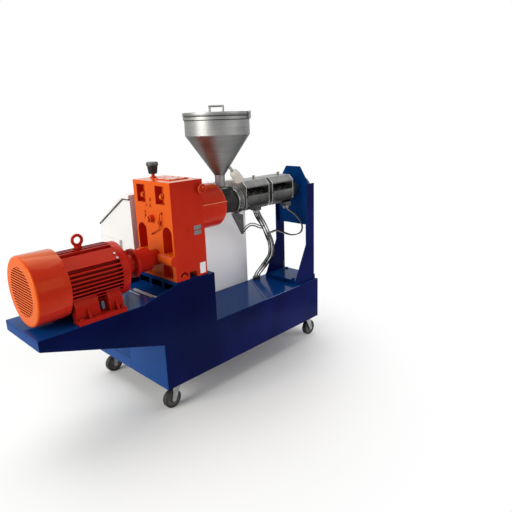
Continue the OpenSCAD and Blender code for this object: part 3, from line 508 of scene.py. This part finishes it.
# ---------- CAD nodes: finishes and softened edges ----------
FINISH = {
    NAVY: (
        "base_near_panel base_far_panel base_left_panel base_right_panel base_top_plate base_floor "
        "bed_top_plate bed_end_plate bed_under_plate pedestal_front_frame pedestal_cover "
        "pedestal_right_plate gearbox_sole_plate deck_plate stand_foot stand_near_plate "
        "stand_far_plate stand_cross_plate console_plinth"
    ),
    PALE: "console_body console_desk console_doors",
    ORANGE: "motor_cowl motor_terminal_box gearbox_lifting_eye",
    CAST: "gearbox_housing gearbox_cover gearbox_output_housing gearbox_breather",
    MOTOR: "motor_frame motor_end_shield motor_eye_bolt coupling_drum",
    DARK: "barrel cable_bracket die_adapter heater_terminals",
    BAND: "heater_bands feed_throat",
    COVER: "heater_cover_1 heater_cover_2",
    ENDPLATE: "heater_end_plates",
    STAINLESS: "hopper_shell hopper_cone hopper_lid lid_handle",
    DRUM: "barrel_flange_drum",
    ZINC: "caster_plates caster_fork_1 caster_fork_2 caster_fork_3 caster_fork_4",
    RUBBER: "caster_wheel_1 caster_wheel_2 caster_wheel_3 caster_wheel_4",
    BLACK: "cable_gland cable_bundle probe_hose bracket_cable",
}
# Width in mm of the bevel, and the nodes that have it
SOFT_EDGE = {
    1: "deck_plate heater_end_plates hopper_lid caster_plates pedestal_front_frame",
    1.2: "motor_frame motor_cowl",
    1.5: "stand_near_plate stand_far_plate stand_cross_plate cable_bracket",
    2: (
        "base_near_panel base_far_panel base_right_panel bed_top_plate bed_end_plate motor_end_shield "
        "coupling_drum gearbox_sole_plate stand_foot console_plinth barrel_flange_drum heater_terminals"
    ),
    3: "console_body console_doors feed_throat",
    4: "gearbox_housing gearbox_cover console_desk motor_terminal_box",
}
# Distance in metres at which a node's points are joined, and the angle from which an edge is bevelled
WELD_REACH = 0.00002
BEVEL_ANGLE = math.radians(40)
for material, names in FINISH.items():
    for name in names.split():
        mesh = nodes[name].data
        mesh.materials.clear()
        mesh.materials.append(material)
for width, names in SOFT_EDGE.items():
    for name in names.split():
        weld = nodes[name].modifiers.new("weld", "WELD")
        weld.merge_threshold = WELD_REACH
        bevel = nodes[name].modifiers.new("bevel", "BEVEL")
        bevel.width = width / 1000
        bevel.segments = 2
        bevel.limit_method = "ANGLE"
        bevel.angle_limit = BEVEL_ANGLE
        bevel.use_clamp_overlap = True
        bevel.harden_normals = False

# ---------- gearbox: blank plates and label, plugs and bolts, oil line, painted highlight on the ledge, breather cap ---
GEAR_FRONT, GEAR_NEAR, GEAR_TOP = 105.0, 2.0, 1181.0
NAMEPLATE, LABEL = (45, 21), (37, 57)
riveted_plate("gearbox_plate_upper", PLATE, "zinc", (233, GEAR_NEAR, 932), NAMEPLATE)
riveted_plate("gearbox_plate_lower", PLATE, "zinc", (233, GEAR_NEAR, 906), NAMEPLATE)
riveted_plate("gearbox_label", WHITE, "pale_paint", (257, GEAR_NEAR, 698), LABEL, thick=0.6, rivet=0)

# Place and thread size of the bolts in the pockets and bosses, then y, z and size of those on the front
BOSS_BOLTS = (
    ((117, 87.8, 1107), 13), ((117, 246.9, 1107), 13), ((83, 166, 996), 17), ((95, 105, 982), 9),
)
FRONT_BOLTS = ((174, 1090, 9), (177, 1060, 9), (210, 1059, 7), (227, 1023, 8), (228, 999, 12))
HATCH_TOP = GEAR_TOP + 4
HATCH_SCREWS = [(x, y) for x in (176.4, 271.2) for y in (92, 145, 198)] + [(223.8, 92), (223.8, 198)]
FLAT_HEAD = [(0, 0), (6, 0), (6, 0.5), (5, 1.1), (2, 1.1), (1.8, 0.5), (0, 0.5)]
plugs = Shape().bolt((201, GEAR_NEAR, 934), -Y, 8)
for at, d in BOSS_BOLTS:
    plugs.bolt(at, -X, d)
for y, z, d in FRONT_BOLTS:
    plugs.bolt((GEAR_FRONT, y, z), -X, d)
for x, y in HATCH_SCREWS:
    plugs.turned((x, y, HATCH_TOP), Z, FLAT_HEAD, 16)
plugs.piece("gearbox_bolts", ORANGE, "orange_paint")
foot = Shape()
for y in (11.5, 304.5):
    foot.bolt((156.5, y, 706), Z, 16)
foot.piece("gearbox_foot_bolts", ORANGE, "orange_paint")

OIL_ENDS = ((GEAR_FRONT, 83, 1029), (GEAR_FRONT, 177, 917))
OIL_LINE = [
    (104, 83, 1029), (95, 83, 1029), (91, 84, 1022), (91, 88, 995), (91, 91, 972), (91, 100, 954),
    (91, 125, 941), (91, 160, 924), (93, 174, 918), (104, 177, 917),
]
FITTING = [(0, 0), (8, 0), (8, 7), (6.5, 8.5), (5, 9), (5, 13), (0, 13)]
UNION = [(0, -6), (6, -6), (6.5, -5), (6.5, 5), (6, 6), (0, 6)]
oil = Shape().tube(spline(OIL_LINE, 4), 3.5, 12)
for at in OIL_ENDS:
    oil.turned(at, -X, FITTING, 6)
oil.turned((91, 91.5, 970), (0, -0.1, 1), UNION, 6)
oil.piece("gearbox_oil_line", ORANGE, "orange_paint")

# A light orange rod on the output housing's ledge: a painted highlight
ledge = Shape().tube([(306, 36, 1037.2), (496, 36, 1037.2)], 2, 8)
ledge.piece("housing_ledge_highlight", LEDGE_HIGHLIGHT, "orange_paint")

BREATHER = Vector((204, 273.4, GEAR_TOP))
CAP = [(0, 19), (9.4, 19), (20.5, 20.6), (25.3, 58.8), (30.4, 60.6), (30.4, 65), (0, 65)]
CAP_TOP = [(0, 65), (30.6, 65), (30.8, 68), (30.6, 75.3), (26.8, 80.4), (16, 81.2), (14, 80.5), (0, 80.5)]
CAP_RIB = [(0, -16), (1.1, -16), (1.4, 16), (0, 16)]
# Ribs of the cap: height of their middle, radius there, lean outwards and number
RIB_Z, RIB_R, RIB_LEAN, RIBS = 40, 23.2, 0.125, 20
cap = Shape().turned(BREATHER, Z, CAP, 40)
rib_centre = BREATHER + Z * RIB_Z
for at in circle_points(rib_centre, Z, RIB_R, RIBS):
    cap.turned(at, (at - rib_centre).normalized() * RIB_LEAN + Z, CAP_RIB, 6)
cap.piece("breather_cap", BLACK, "black_plastic")
Shape().turned(BREATHER, Z, CAP_TOP, 40).piece("breather_top", DARK, "dark_steel")

# ---------- motor: foot bolts, pad and cowl screws, shield bolts, terminal box lid ----------
FOOT_Y, FOOT_TOP = 142, 650
bolts = Shape()
for y in (AXIS_Y - FOOT_Y, AXIS_Y + FOOT_Y):
    for x in (-392, -194):
        bolts.bolt((x, y, FOOT_TOP), Z, 11)
bolts.piece("motor_foot_bolts", MOTOR, "orange_paint")
# How far the pads look up, their distance from the axis, and x and drop of the screws on each
PAD_TILT, PAD_R = math.radians(48), 129.3
PAD_SCREWS = ((-178, 2), (-176, 28))
screws = Shape()
for s in (-1, 1):
    n = Vector((0, s * math.cos(PAD_TILT), math.sin(PAD_TILT)))
    low = Vector((0, s * math.sin(PAD_TILT), -math.cos(PAD_TILT)))
    for x, drop in PAD_SCREWS:
        screws.cap_screw(Vector((x, AXIS_Y, MOTOR_Z)) + PAD_R * n + drop * low, n, 7)
screws.piece("motor_pad_screws", ZINC, "zinc")
COWL_RIM_X, COWL_R = -430, 154.6
cowl = Shape()
for turn in (40, 140, 220, 320):
    n = Vector((0, math.cos(math.radians(turn)), math.sin(math.radians(turn))))
    cowl.bolt(Vector((COWL_RIM_X, AXIS_Y, MOTOR_Z)) + COWL_R * n, n, 6)
cowl.piece("cowl_screws", ORANGE, "orange_paint")
SHIELD_X, COUPLING_X = -124, -47
shield = Shape()
for at in circle_points((SHIELD_X, AXIS_Y, MOTOR_Z), X, 123.5, 4, 45):
    shield.bolt(at, X, 9)
for at in circle_points((COUPLING_X, AXIS_Y, MOTOR_Z), -X, 60, 6):
    shield.bolt(at, -X, 9, washer=False)
shield.piece("coupling_bolts", MOTOR, "orange_paint")
BOX_FAR = AXIS_Y + 128 + 46.2
LID_X, LID_Z, LID_SIZE, LID_T, LID_INSET = -236.5, 754, 114, 5, 10
lid = Shape().prism(rounded(LID_SIZE, LID_SIZE, 8), (LID_X, BOX_FAR, LID_Z), -X, Z, LID_T, 1)
for a in (LID_INSET, LID_SIZE - LID_INSET):
    for b in (LID_INSET, LID_SIZE - LID_INSET):
        lid.cap_screw((LID_X - a, BOX_FAR + LID_T, LID_Z + b), Y, 6)
lid.piece("terminal_box_lid", ORANGE, "orange_paint")

# ---------- bed: flat steel bars across the plate between motor and gearbox, their near-white colour partly a painted highlight ---
BED_TOP, BAR_T = 630, 4
bars = Shape()
for x0, x1, y0, y1 in ((2, 10, 8, 241), (-9, -3, 61, 232), (-33, -27, 137, 232)):
    bars.block((x0, y0, BED_TOP), (x1, y1, BED_TOP + BAR_T), 1.2)
bars.piece("bed_bars", BAR, "zinc")

# ---------- hopper: weld beads, gasket, painted shadow under the rim bead, hinge nuts, handle feet, cream shut-off paddle, seat ---
HOPPER = Vector((563, AXIS_Y, 0))
# Height, radius and thickness of the beads at the cone's top and at both ends of the neck
WELDS = ((1381, 176.2, 1.3), (1163, 28.6, 1.6), (1098, 28.6, 1.6))
welds = Shape()
for z, r, bead in WELDS:
    welds.tube(circle_points(HOPPER + Z * z, Z, r, 72), bead, 8, closed=True)
welds.piece("hopper_welds", STAINLESS, "stainless")
gasket = Shape().ring(HOPPER + Z * 1476.2, Z, 175.5, 181, 0, 4.6, 96)
gasket.piece("hopper_rim_gasket", BLACK, "black_plastic")
# A dark ring just under the rim bead: painted shadow
under_bead = Shape().tube(circle_points(HOPPER + Z * 1460, Z, 176.4, 96), 2.2, 8, closed=True)
under_bead.piece("hopper_bead_shadow", BAND, "band_steel")
# The lid's hinge lies in this direction from the hopper's axis
HINGE_TURN = math.radians(44)
out = Vector((math.cos(HINGE_TURN), math.sin(HINGE_TURN), 0))
along = Z.cross(out)
nuts = Shape()
for s in (-1, 1):
    nuts.bolt(HOPPER + Z * 1496 + out * 206 + along * (s * 18.2), along * s, 6)
nuts.piece("hinge_nuts", ZINC, "zinc")
HANDLE_FOOT = [(6.2, 0), (12, 0), (12, 1.6), (8, 2.6), (6.2, 4), (6.2, 0)]
feet = Shape()
for s in (-1, 1):
    feet.turned(HOPPER + Z * 1499.3 + along * (s * 36), Z, HANDLE_FOOT, 28)
feet.piece("lid_handle_feet", STAINLESS, "stainless", body="lid")
# The paddle's lever: its root, its direction and the direction that the blade faces
ROOT = Vector((588.5, 105.7, 1209))
ARM, FACE = Vector((0.2699, -0.5534, -0.788)), Vector((0.8988, 0.4384, 0))
BLADE = [(-11, 23), (11, 23), (26, 39), (29, 88.5), (17, 105), (-17, 105), (-29, 88.5), (-26, 39)]
HALF_BLADE = 3.6
paddle = Shape().prism(BLADE, ROOT - FACE * HALF_BLADE, ARM.cross(FACE), ARM, 2 * HALF_BLADE, 1.4)
paddle.piece("paddle_cover", CREAM, "pale_paint")
SEAT_TOP, SEAT_BOLT = 1090, 41
SEAT_CLAMP = [(29, 8), (49, 8), (49.5, 8.6), (49.5, 11), (47, 12.5), (29, 12.5), (29, 8)]
seat = Shape()
for sx in (-SEAT_BOLT, SEAT_BOLT):
    for sy in (-SEAT_BOLT, SEAT_BOLT):
        seat.bolt(HOPPER + Vector((sx, sy, SEAT_TOP)), Z, 10)
seat.turned(HOPPER + Z * SEAT_TOP, Z, SEAT_CLAMP, 48)
seat.piece("hopper_seat_clamp", BLACK, "black_plastic")

# ---------- barrel: drum rings and screws, cover screws, band clamps, cable connectors ----------
ZONES, ZONE_L = (687.0, 908.0), 185.0
COVER_HALF, COVER_INSET = 85, 10
drum = Shape()
for x, r in ((641, 68), (668, 76)):
    drum.ring((x, AXIS_Y, BARREL_Z), X, r - 1, r + 2, 0, 5, 64)
for at in circle_points((659.5, AXIS_Y, BARREL_Z), -X, 72, 12):
    drum.cap_screw(at, -X, 4.5)
drum.piece("drum_rings", ENDPLATE, "zinc")
fixings = Shape()
for x0 in ZONES:
    for dx in (COVER_INSET, ZONE_L - COVER_INSET):
        for dz, d in ((74, 4), (2, 5), (-30, 5)):
            for s in (-1, 1):
                fixings.cap_screw((x0 + dx, AXIS_Y + s * COVER_HALF, BARREL_Z + dz), Y * s, d)
fixings.piece("cover_screws", ZINC, "zinc")
clamps = Shape()
for x0 in ZONES:
    for dx in (32, 92, 152):
        x = x0 + dx
        clamps.ring((x, AXIS_Y, BARREL_Z), X, 52.5, 54.5, -5, 5, 64)
        clamps.block((x - 6, AXIS_Y - 60, BARREL_Z + 38), (x + 6, AXIS_Y - 40, BARREL_Z + 44), 1.5)
        clamps.cap_screw((x, AXIS_Y - 60, BARREL_Z + 41), -Y, 5)
clamps.piece("band_clamps", DARK, "band_steel")
CONNECTOR = [(0, 0), (21, 0), (21, 5), (19, 7), (18, 14), (15, 17), (0, 17)]
TERMINAL_Z = 924
glands = Shape()
for x, y, sides in ((835, 150, 6), (1056, 100, 8)):
    glands.turned((x, y, TERMINAL_Z), -Z, CONNECTOR, sides)
glands.piece("terminal_nuts", ZINC, "zinc")

# ---------- stand: bolts round the barrel and on the foot, stud ----------
CROSS_PLATE_X, FOOT_PLATE_Z = 1198, 435
stand = Shape()
for at in circle_points((CROSS_PLATE_X, AXIS_Y, BARREL_Z), -X, 64, 6, 30):
    stand.bolt(at, -X, 10)
for x in (1078, 1232):
    for y in (64, 252):
        stand.bolt((x, y, FOOT_PLATE_Z), Z, 12)
stand.piece("stand_bolts", NAVY, "navy_paint")
STUD = (1143, 200, FOOT_PLATE_Z)
stud = Shape().turned(STUD, Z, [(0, 0), (5, 0), (5, 86), (4, 88), (0, 88)], 16)
stud.bolt(STUD, Z, 10)
stud.piece("stand_stud", DARK, "dark_steel")

# ---------- deck: countersunk screws and painted highlights along its edges ---
DECK_X, DECK_TOP, HIGHLIGHT_Z = 1060, 408, 407.4
DECK_SCREWS = ((770, 14), (900, 14), (1040, 14), (1040, 170), (905, 170), (975, 331), (1040, 331))
COUNTERSUNK = [(0, 0), (7, 0), (7, 0.6), (5.5, 1.2), (2.2, 1.2), (2, 0.5), (0, 0.5)]
deck = Shape()
for x, y in DECK_SCREWS:
    deck.turned((x, y, DECK_TOP), Z, COUNTERSUNK, 20)
deck.piece("deck_screws", NAVY, "navy_paint")
# Light blue rods along the deck's slanted and near edges: painted highlights
edges = Shape().tube([(DECK_X - 325, 1, HIGHLIGHT_Z), (DECK_X - 98, 344, HIGHLIGHT_Z)], 1.6, 8)
edges.tube([(DECK_X - 324, 0.6, HIGHLIGHT_Z), (DECK_X - 2, 0.6, HIGHLIGHT_Z)], 1.2, 8)
edges.piece("deck_edge_highlights", DECK_HIGHLIGHT, "navy_paint")

# ---------- casters: plate bolts, swivel rings, axle nuts and hubs ----------
# Place of each swivel, and the side to which its wheel trails
CASTERS = (((75, 52), -1), ((1192.5, 52), 1), ((75, 640), -1), ((879.75, 640), -1))
PLATE_UNDER, SWIVEL_Z, AXLE_Z, TRAIL, FORK_HALF = 131, 118.7, 50, 25, 23
HUB_FACE = [
    (16.4, 12.2), (38.6, 12.2), (38.2, 13.4), (33, 14.2), (31, 13.2), (21, 13.2), (19, 15), (16.4, 15),
    (16.4, 12.2),
]
plates = Shape()
for (x, y), _ in CASTERS:
    for sx in (-38, 38):
        for sy in (-30, 30):
            plates.bolt((x + sx, y + sy, PLATE_UNDER), -Z, 7)
plates.piece("caster_bolts", ZINC, "zinc")
for k, ((x, y), trail) in enumerate(CASTERS, 1):
    axle = Vector((x + TRAIL * trail, y, AXLE_Z))
    nut = Shape().ring((x, y, SWIVEL_Z), Z, 29.5, 31.5, 3, 9, 40)
    hub = Shape()
    for s in (-1, 1):
        nut.bolt(axle + Y * (s * FORK_HALF), Y * s, 9)
        hub.turned(axle, Y * s, HUB_FACE, 48)
    nut.piece(f"caster_nuts_{k}", ZINC, "zinc", body=f"swivel_{k}")
    hub.piece(f"wheel_hub_{k}", HUB, "zinc", body=f"wheel_{k}")

# ---------- console: door handles and hinges, painted shadow under the desk's edges, instruments and buttons, vent louvres ---
DOORS_X, DOOR_FAR, HANDLE_X = 519.5, 692, 34
door = Shape()
for s in (-1, 1):
    x = DOORS_X + s * HANDLE_X
    door.prism(rounded(24, 120, 10), (x + 12, DOOR_FAR, 560), -X, Z, 2.5, 0.8)
    grip = [(x, 693, 580), (x, 700, 584), (x, 701, 620), (x, 700, 656), (x, 693, 660)]
    door.tube(spline(grip, 4), 5, 10)
door.piece("door_handles", BLACK, "black_plastic")
KNUCKLE = [(0, -26), (4.5, -26), (5, -25), (5, 25), (4.5, 26), (0, 26)]
hinges = Shape()
for x in (101.5, 937.5):
    for z in (270, 560, 830):
        hinges.turned((x, 693.5, z), Z, KNUCKLE, 16)
hinges.piece("door_hinges", PALE, "pale_paint")
# The desk's slope: y and z of its upper edge, then its directions
DESK_Y, DESK_Z = 412, 1097
down = Vector((0, 280, -170)).normalized()
rise = -down
raised = (-X).cross(rise)


def on_desk(x, s):
    """Point on the desk's slope, s mm below its upper edge."""
    return Vector((x, DESK_Y, DESK_Z)) + down * s


# Black strips under the desk's side edges: painted shadow
DESK_SHADOW_OUTLINE = [(352, 1069), (412, 1069), (688, 901.4), (688, 907.4), (412, 1075), (352, 1075)]
shade_strips = Shape()
for x in (91, 942):
    shade_strips.prism(DESK_SHADOW_OUTLINE, (x, 0, 0), Y, Z, 6)
shade_strips.piece("desk_shadow_strips", BLACK, "black_plastic")
BEZEL, BEZEL_T = 96, 8
frames, screens = Shape(), Shape()
for x in (850, 730, 610, 490, 370):
    frames.prism(rounded(BEZEL, BEZEL, 5), on_desk(x, 166), -X, rise, BEZEL_T, 1.5)
    screens.prism(rounded(76, 60, 3), on_desk(x - 10, 138) + raised * BEZEL_T, -X, rise, 1.2, 0.4)
frames.piece("desk_instruments", BLACK, "black_plastic")
screens.piece("desk_screens", GLASS, "black_plastic")
BUTTON = [(0, 0), (14, 0), (14, 3), (11, 4), (11, 12), (9.5, 14), (0, 14)]
BUTTON_ROW = 236
for name, material, places in (
    ("desk_start_buttons", GREEN, (802, 682)),
    ("desk_stop_buttons", RED, (742, 622)),
    ("desk_knobs", BLACK, (562, 442, 322)),
):
    row = Shape()
    for x in places:
        row.turned(on_desk(x, BUTTON_ROW), raised, BUTTON, 28)
    row.piece(name, material, "black_plastic")
LOUVRES, LOUVRE_Z, LOUVRE_PITCH = 16, 500, 21
LOUVRE, LOUVRE_RISE = [(0, 0), (160, 0), (160, 3), (0, 3)], Vector((-0.45, 0, 0.89))
louvres = Shape()
for k in range(LOUVRES):
    louvres.prism(LOUVRE, (81.2, 644, LOUVRE_Z + k * LOUVRE_PITCH), -Y, LOUVRE_RISE, 1.2)
louvres.piece("vent_louvres", PALE, "pale_paint")

# ---------- cords: strands that wind round the routes of part.scad ----------
BUNDLE = [
    (835, 150, 924), (857.5, 150, 879), (904.4, 155, 819), (961.4, 174.9, 744), (1018.4, 199.8, 664),
    (1050.8, 234.7, 579), (1039.3, 274.5, 514), (1005.2, 307.7, 454), (989.8, 316, 424),
]
HOSE = [
    (1056, 100, 924), (1076, 90, 895), (1111, 76, 865), (1146, 64, 825), (1166, 58, 780),
    (1161, 60, 745), (1131, 66, 730), (1086, 84, 730), (1041, 108, 750), (1001, 135, 768),
    (959.4, 167.9, 751),
]
BRACKET = [
    (729, 158, 812), (758.8, 158, 831.8), (797.4, 158, 840.3), (836, 158, 829.7), (874.6, 158, 811.2),
    (904.4, 158, 805),
]
STRAND_STEP, STRAND_SIDES = 8, 14


def strand(points, radius, phase, twist):
    """A path that winds slowly round the given one, by twist radians in all."""
    path = spline(points, STRAND_STEP)
    side, out = None, []
    for i, p in enumerate(path):
        d = (path[min(i + 1, len(path) - 1)] - path[max(i - 1, 0)]).normalized()
        if side is None:
            side = basis(d)[0]
        side = (side - d * side.dot(d)).normalized()
        a = phase + twist * i / len(path)
        out.append(p + radius * (math.cos(a) * side + math.sin(a) * d.cross(side)))
    return out


def cord_piece(name, path, diameter, material, node):
    slot = "hose_braid" if material is BRAID else "cable_rubber"
    obj = Shape().tube(path, diameter / 2, STRAND_SIDES).piece(name, material, slot, smooth=60)
    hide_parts(node)


# The bundle has one cable in its middle and six round it
OUTER_R, OUTER = 16.5, (BRAID, CABLE, CABLE, BRAID, CABLE, BRAID)
STRANDS = [(3, 0, CABLE)] + [(OUTER_R, k * math.pi / 3, material) for k, material in enumerate(OUTER)]
for k, (radius, phase, material) in enumerate(STRANDS, 1):
    cord_piece(f"bundle_cable_{k}", strand(BUNDLE, radius, phase, 2.6), 7.5, material, "cable_bundle")
# Name, node, route, winding radius, phase, twist and diameter of the pairs
for name, node, route, radius, phase, twist, diameter in (
    ("probe_cable", "probe_hose", HOSE, 5.0, -0.7, 1.6, 7.0),
    ("bracket_cable", "bracket_cable", BRACKET, 6.5, 1.2, 0.6, 7.6),
):
    cord_piece(f"{name}_1", strand(route, radius, phase, twist), diameter, CABLE, node)
    cord_piece(f"{name}_2", strand(route, radius, phase + math.pi, twist), diameter, BRAID, node)

# ---------- stage and light ----------
scene = bpy.context.scene
# Distance in metres from the middle over which the floor fades into the white background
FLOOR_FADE = (0.6, 1.6)
# White wedge of floor behind the machine: heading, side direction and middle, half width and its growth,
# and the width of its soft edge
HEADING, ACROSS, MIDDLE = (0.715, 0.7, 0), (0.7, -0.715, 0), 0.45
HALF_WIDTH, GROWTH, SOFT_SIDE = 2.45, 0.62, 0.8
# Brightness of the far floor outside the wedge, and how many times narrower reflections see the wedge
FAR_FLOOR = 0.42
REFLECTED = 2.6
# Strength of the world as a light and as the white background
WORLD_LIGHT, WORLD_SEEN = 0.22, 1.0
FLOOR_SIZE = 30


def seen_rays(tree):
    """One for camera, glossy and transmission rays, nothing for the rest."""
    path = tree.nodes.new("ShaderNodeLightPath")
    last = path.outputs["Is Camera Ray"]
    for kind in ("Is Glossy Ray", "Is Transmission Ray"):
        n = tree.nodes.new("ShaderNodeMath")
        n.operation = "MAXIMUM"
        tree.links.new(last, n.inputs[0])
        tree.links.new(path.outputs[kind], n.inputs[1])
        last = n.outputs[0]
    return last


def mix_shaders(tree, fac, a, b, output):
    n = tree.nodes.new("ShaderNodeMixShader")
    tree.links.new(fac, n.inputs["Fac"])
    tree.links.new(a.outputs[0], n.inputs[1])
    tree.links.new(b.outputs[0], n.inputs[2])
    tree.links.new(n.outputs[0], tree.nodes[output].inputs["Surface"])


def floor_material():
    """Pale paint that fades into a plain white background, which mirrors see as a wedge."""
    m = Mat("floor_paint", 0.7)
    m.colour(m.ramp(m.noise(0.8), [(0.3, srgb(238, 238, 238)), (0.7, srgb(243, 243, 243))]))
    place = m.coords.outputs["Object"]

    def vector_math(operation, direction=None):
        n = m.node("ShaderNodeVectorMath")
        n.operation = operation
        m.link(place, n.inputs[0])
        if direction:
            n.inputs[1].default_value = direction
        return n.outputs["Value"]

    fade = m.span(vector_math("LENGTH"), *FLOOR_FADE, smooth=True)
    camera_ray = m.node("ShaderNodeLightPath").outputs["Is Camera Ray"]
    narrow = m.math("MULTIPLY_ADD", camera_ray, 1.0 - REFLECTED, REFLECTED)
    off_middle = m.math("ABSOLUTE", m.math("SUBTRACT", vector_math("DOT_PRODUCT", ACROSS), MIDDLE))
    half_width = m.math("MULTIPLY_ADD", vector_math("DOT_PRODUCT", HEADING), GROWTH, HALF_WIDTH)
    inside = m.math("SUBTRACT", half_width, m.math("MULTIPLY", off_middle, narrow))
    wedge = m.span(inside, 0.0, SOFT_SIDE, FAR_FLOOR, smooth=True)
    white = m.node("ShaderNodeEmission", Color=PURE_WHITE)
    m.link(m.math("MAXIMUM", wedge, camera_ray), white.inputs["Strength"])
    mix_shaders(m.t, m.math("MULTIPLY", seen_rays(m.t), fade), m.b, white, "Material Output")
    return m.m


floor_mesh = bpy.data.meshes.new("floor")
bm = bmesh.new()
bmesh.ops.create_grid(bm, x_segments=2, y_segments=2, size=FLOOR_SIZE)
bm.to_mesh(floor_mesh)
bm.free()
floor_mesh.materials.append(floor_material())
floor = bpy.data.objects.new("floor", floor_mesh)
scene.collection.objects.link(floor)

world = bpy.data.worlds.new("studio")
world.use_nodes = True
scene.world = world
world_tree = world.node_tree
lights = world_tree.nodes["Background"]
seen = world_tree.nodes.new("ShaderNodeBackground")
for background, strength in ((lights, WORLD_LIGHT), (seen, WORLD_SEEN)):
    background.inputs["Color"].default_value = PURE_WHITE
    background.inputs["Strength"].default_value = strength
mix_shaders(world_tree, seen_rays(world_tree), lights, seen, "World Output")

# Name, place, target, size in metres, power in watts, colour, and whether gloss mirrors the lamp
LAMPS = (
    ("key", (-5.0, 0.4, 2.4), (0, 0, 0.8), (3.0, 3.0), 235, (1.0, 0.99, 0.92), True),
    ("top", (0.4, 1.0, 5.0), (0, 0, 0.5), (5.0, 4.0), 160, (1, 1, 1), True),
    ("fill", (1.5, -5.5, 2.6), (0, 0, 0.7), (4.0, 3.0), 45, (1.0, 0.97, 0.97), True),
    ("side", (2.3, -1.9, 0.75), (0.2, 0.0, 0.62), (1.4, 1.0), 26, (1, 1, 1), False),
)
for name, at, target, size, power, colour, mirrored in LAMPS:
    lamp = bpy.data.lights.new(name, "AREA")
    lamp.shape = "RECTANGLE"
    lamp.size, lamp.size_y = size
    lamp.energy = power
    lamp.color = colour
    obj = bpy.data.objects.new(name, lamp)
    obj.location = at
    obj.rotation_euler = (Vector(target) - Vector(at)).to_track_quat("-Z", "Y").to_euler()
    obj.visible_glossy = mirrored
    scene.collection.objects.link(obj)

# ---------- camera, solved from the photograph's vanishing points ----------
SENSOR, IMAGE, FOCAL, SHIFT = 36, 512, 478, (1, -6)
RIGHT, UP, AHEAD = (0.6926, -0.7203, -0.0331), (0.2121, 0.1596, 0.9642), (0.6898, 0.6751, -0.2634)
EYE = (-1.578, -2.178, 1.455)
cam_data = bpy.data.cameras.new("camera")
cam_data.sensor_width = SENSOR
cam_data.lens = SENSOR * FOCAL / IMAGE
cam_data.shift_x, cam_data.shift_y = (pixels / IMAGE for pixels in SHIFT)
cam = bpy.data.objects.new("camera", cam_data)
cam.matrix_world = Matrix([(RIGHT[i], UP[i], -AHEAD[i], EYE[i]) for i in range(3)] + [(0, 0, 0, 1)])
scene.collection.objects.link(cam)
scene.camera = cam
scene.view_settings.view_transform = "Standard"
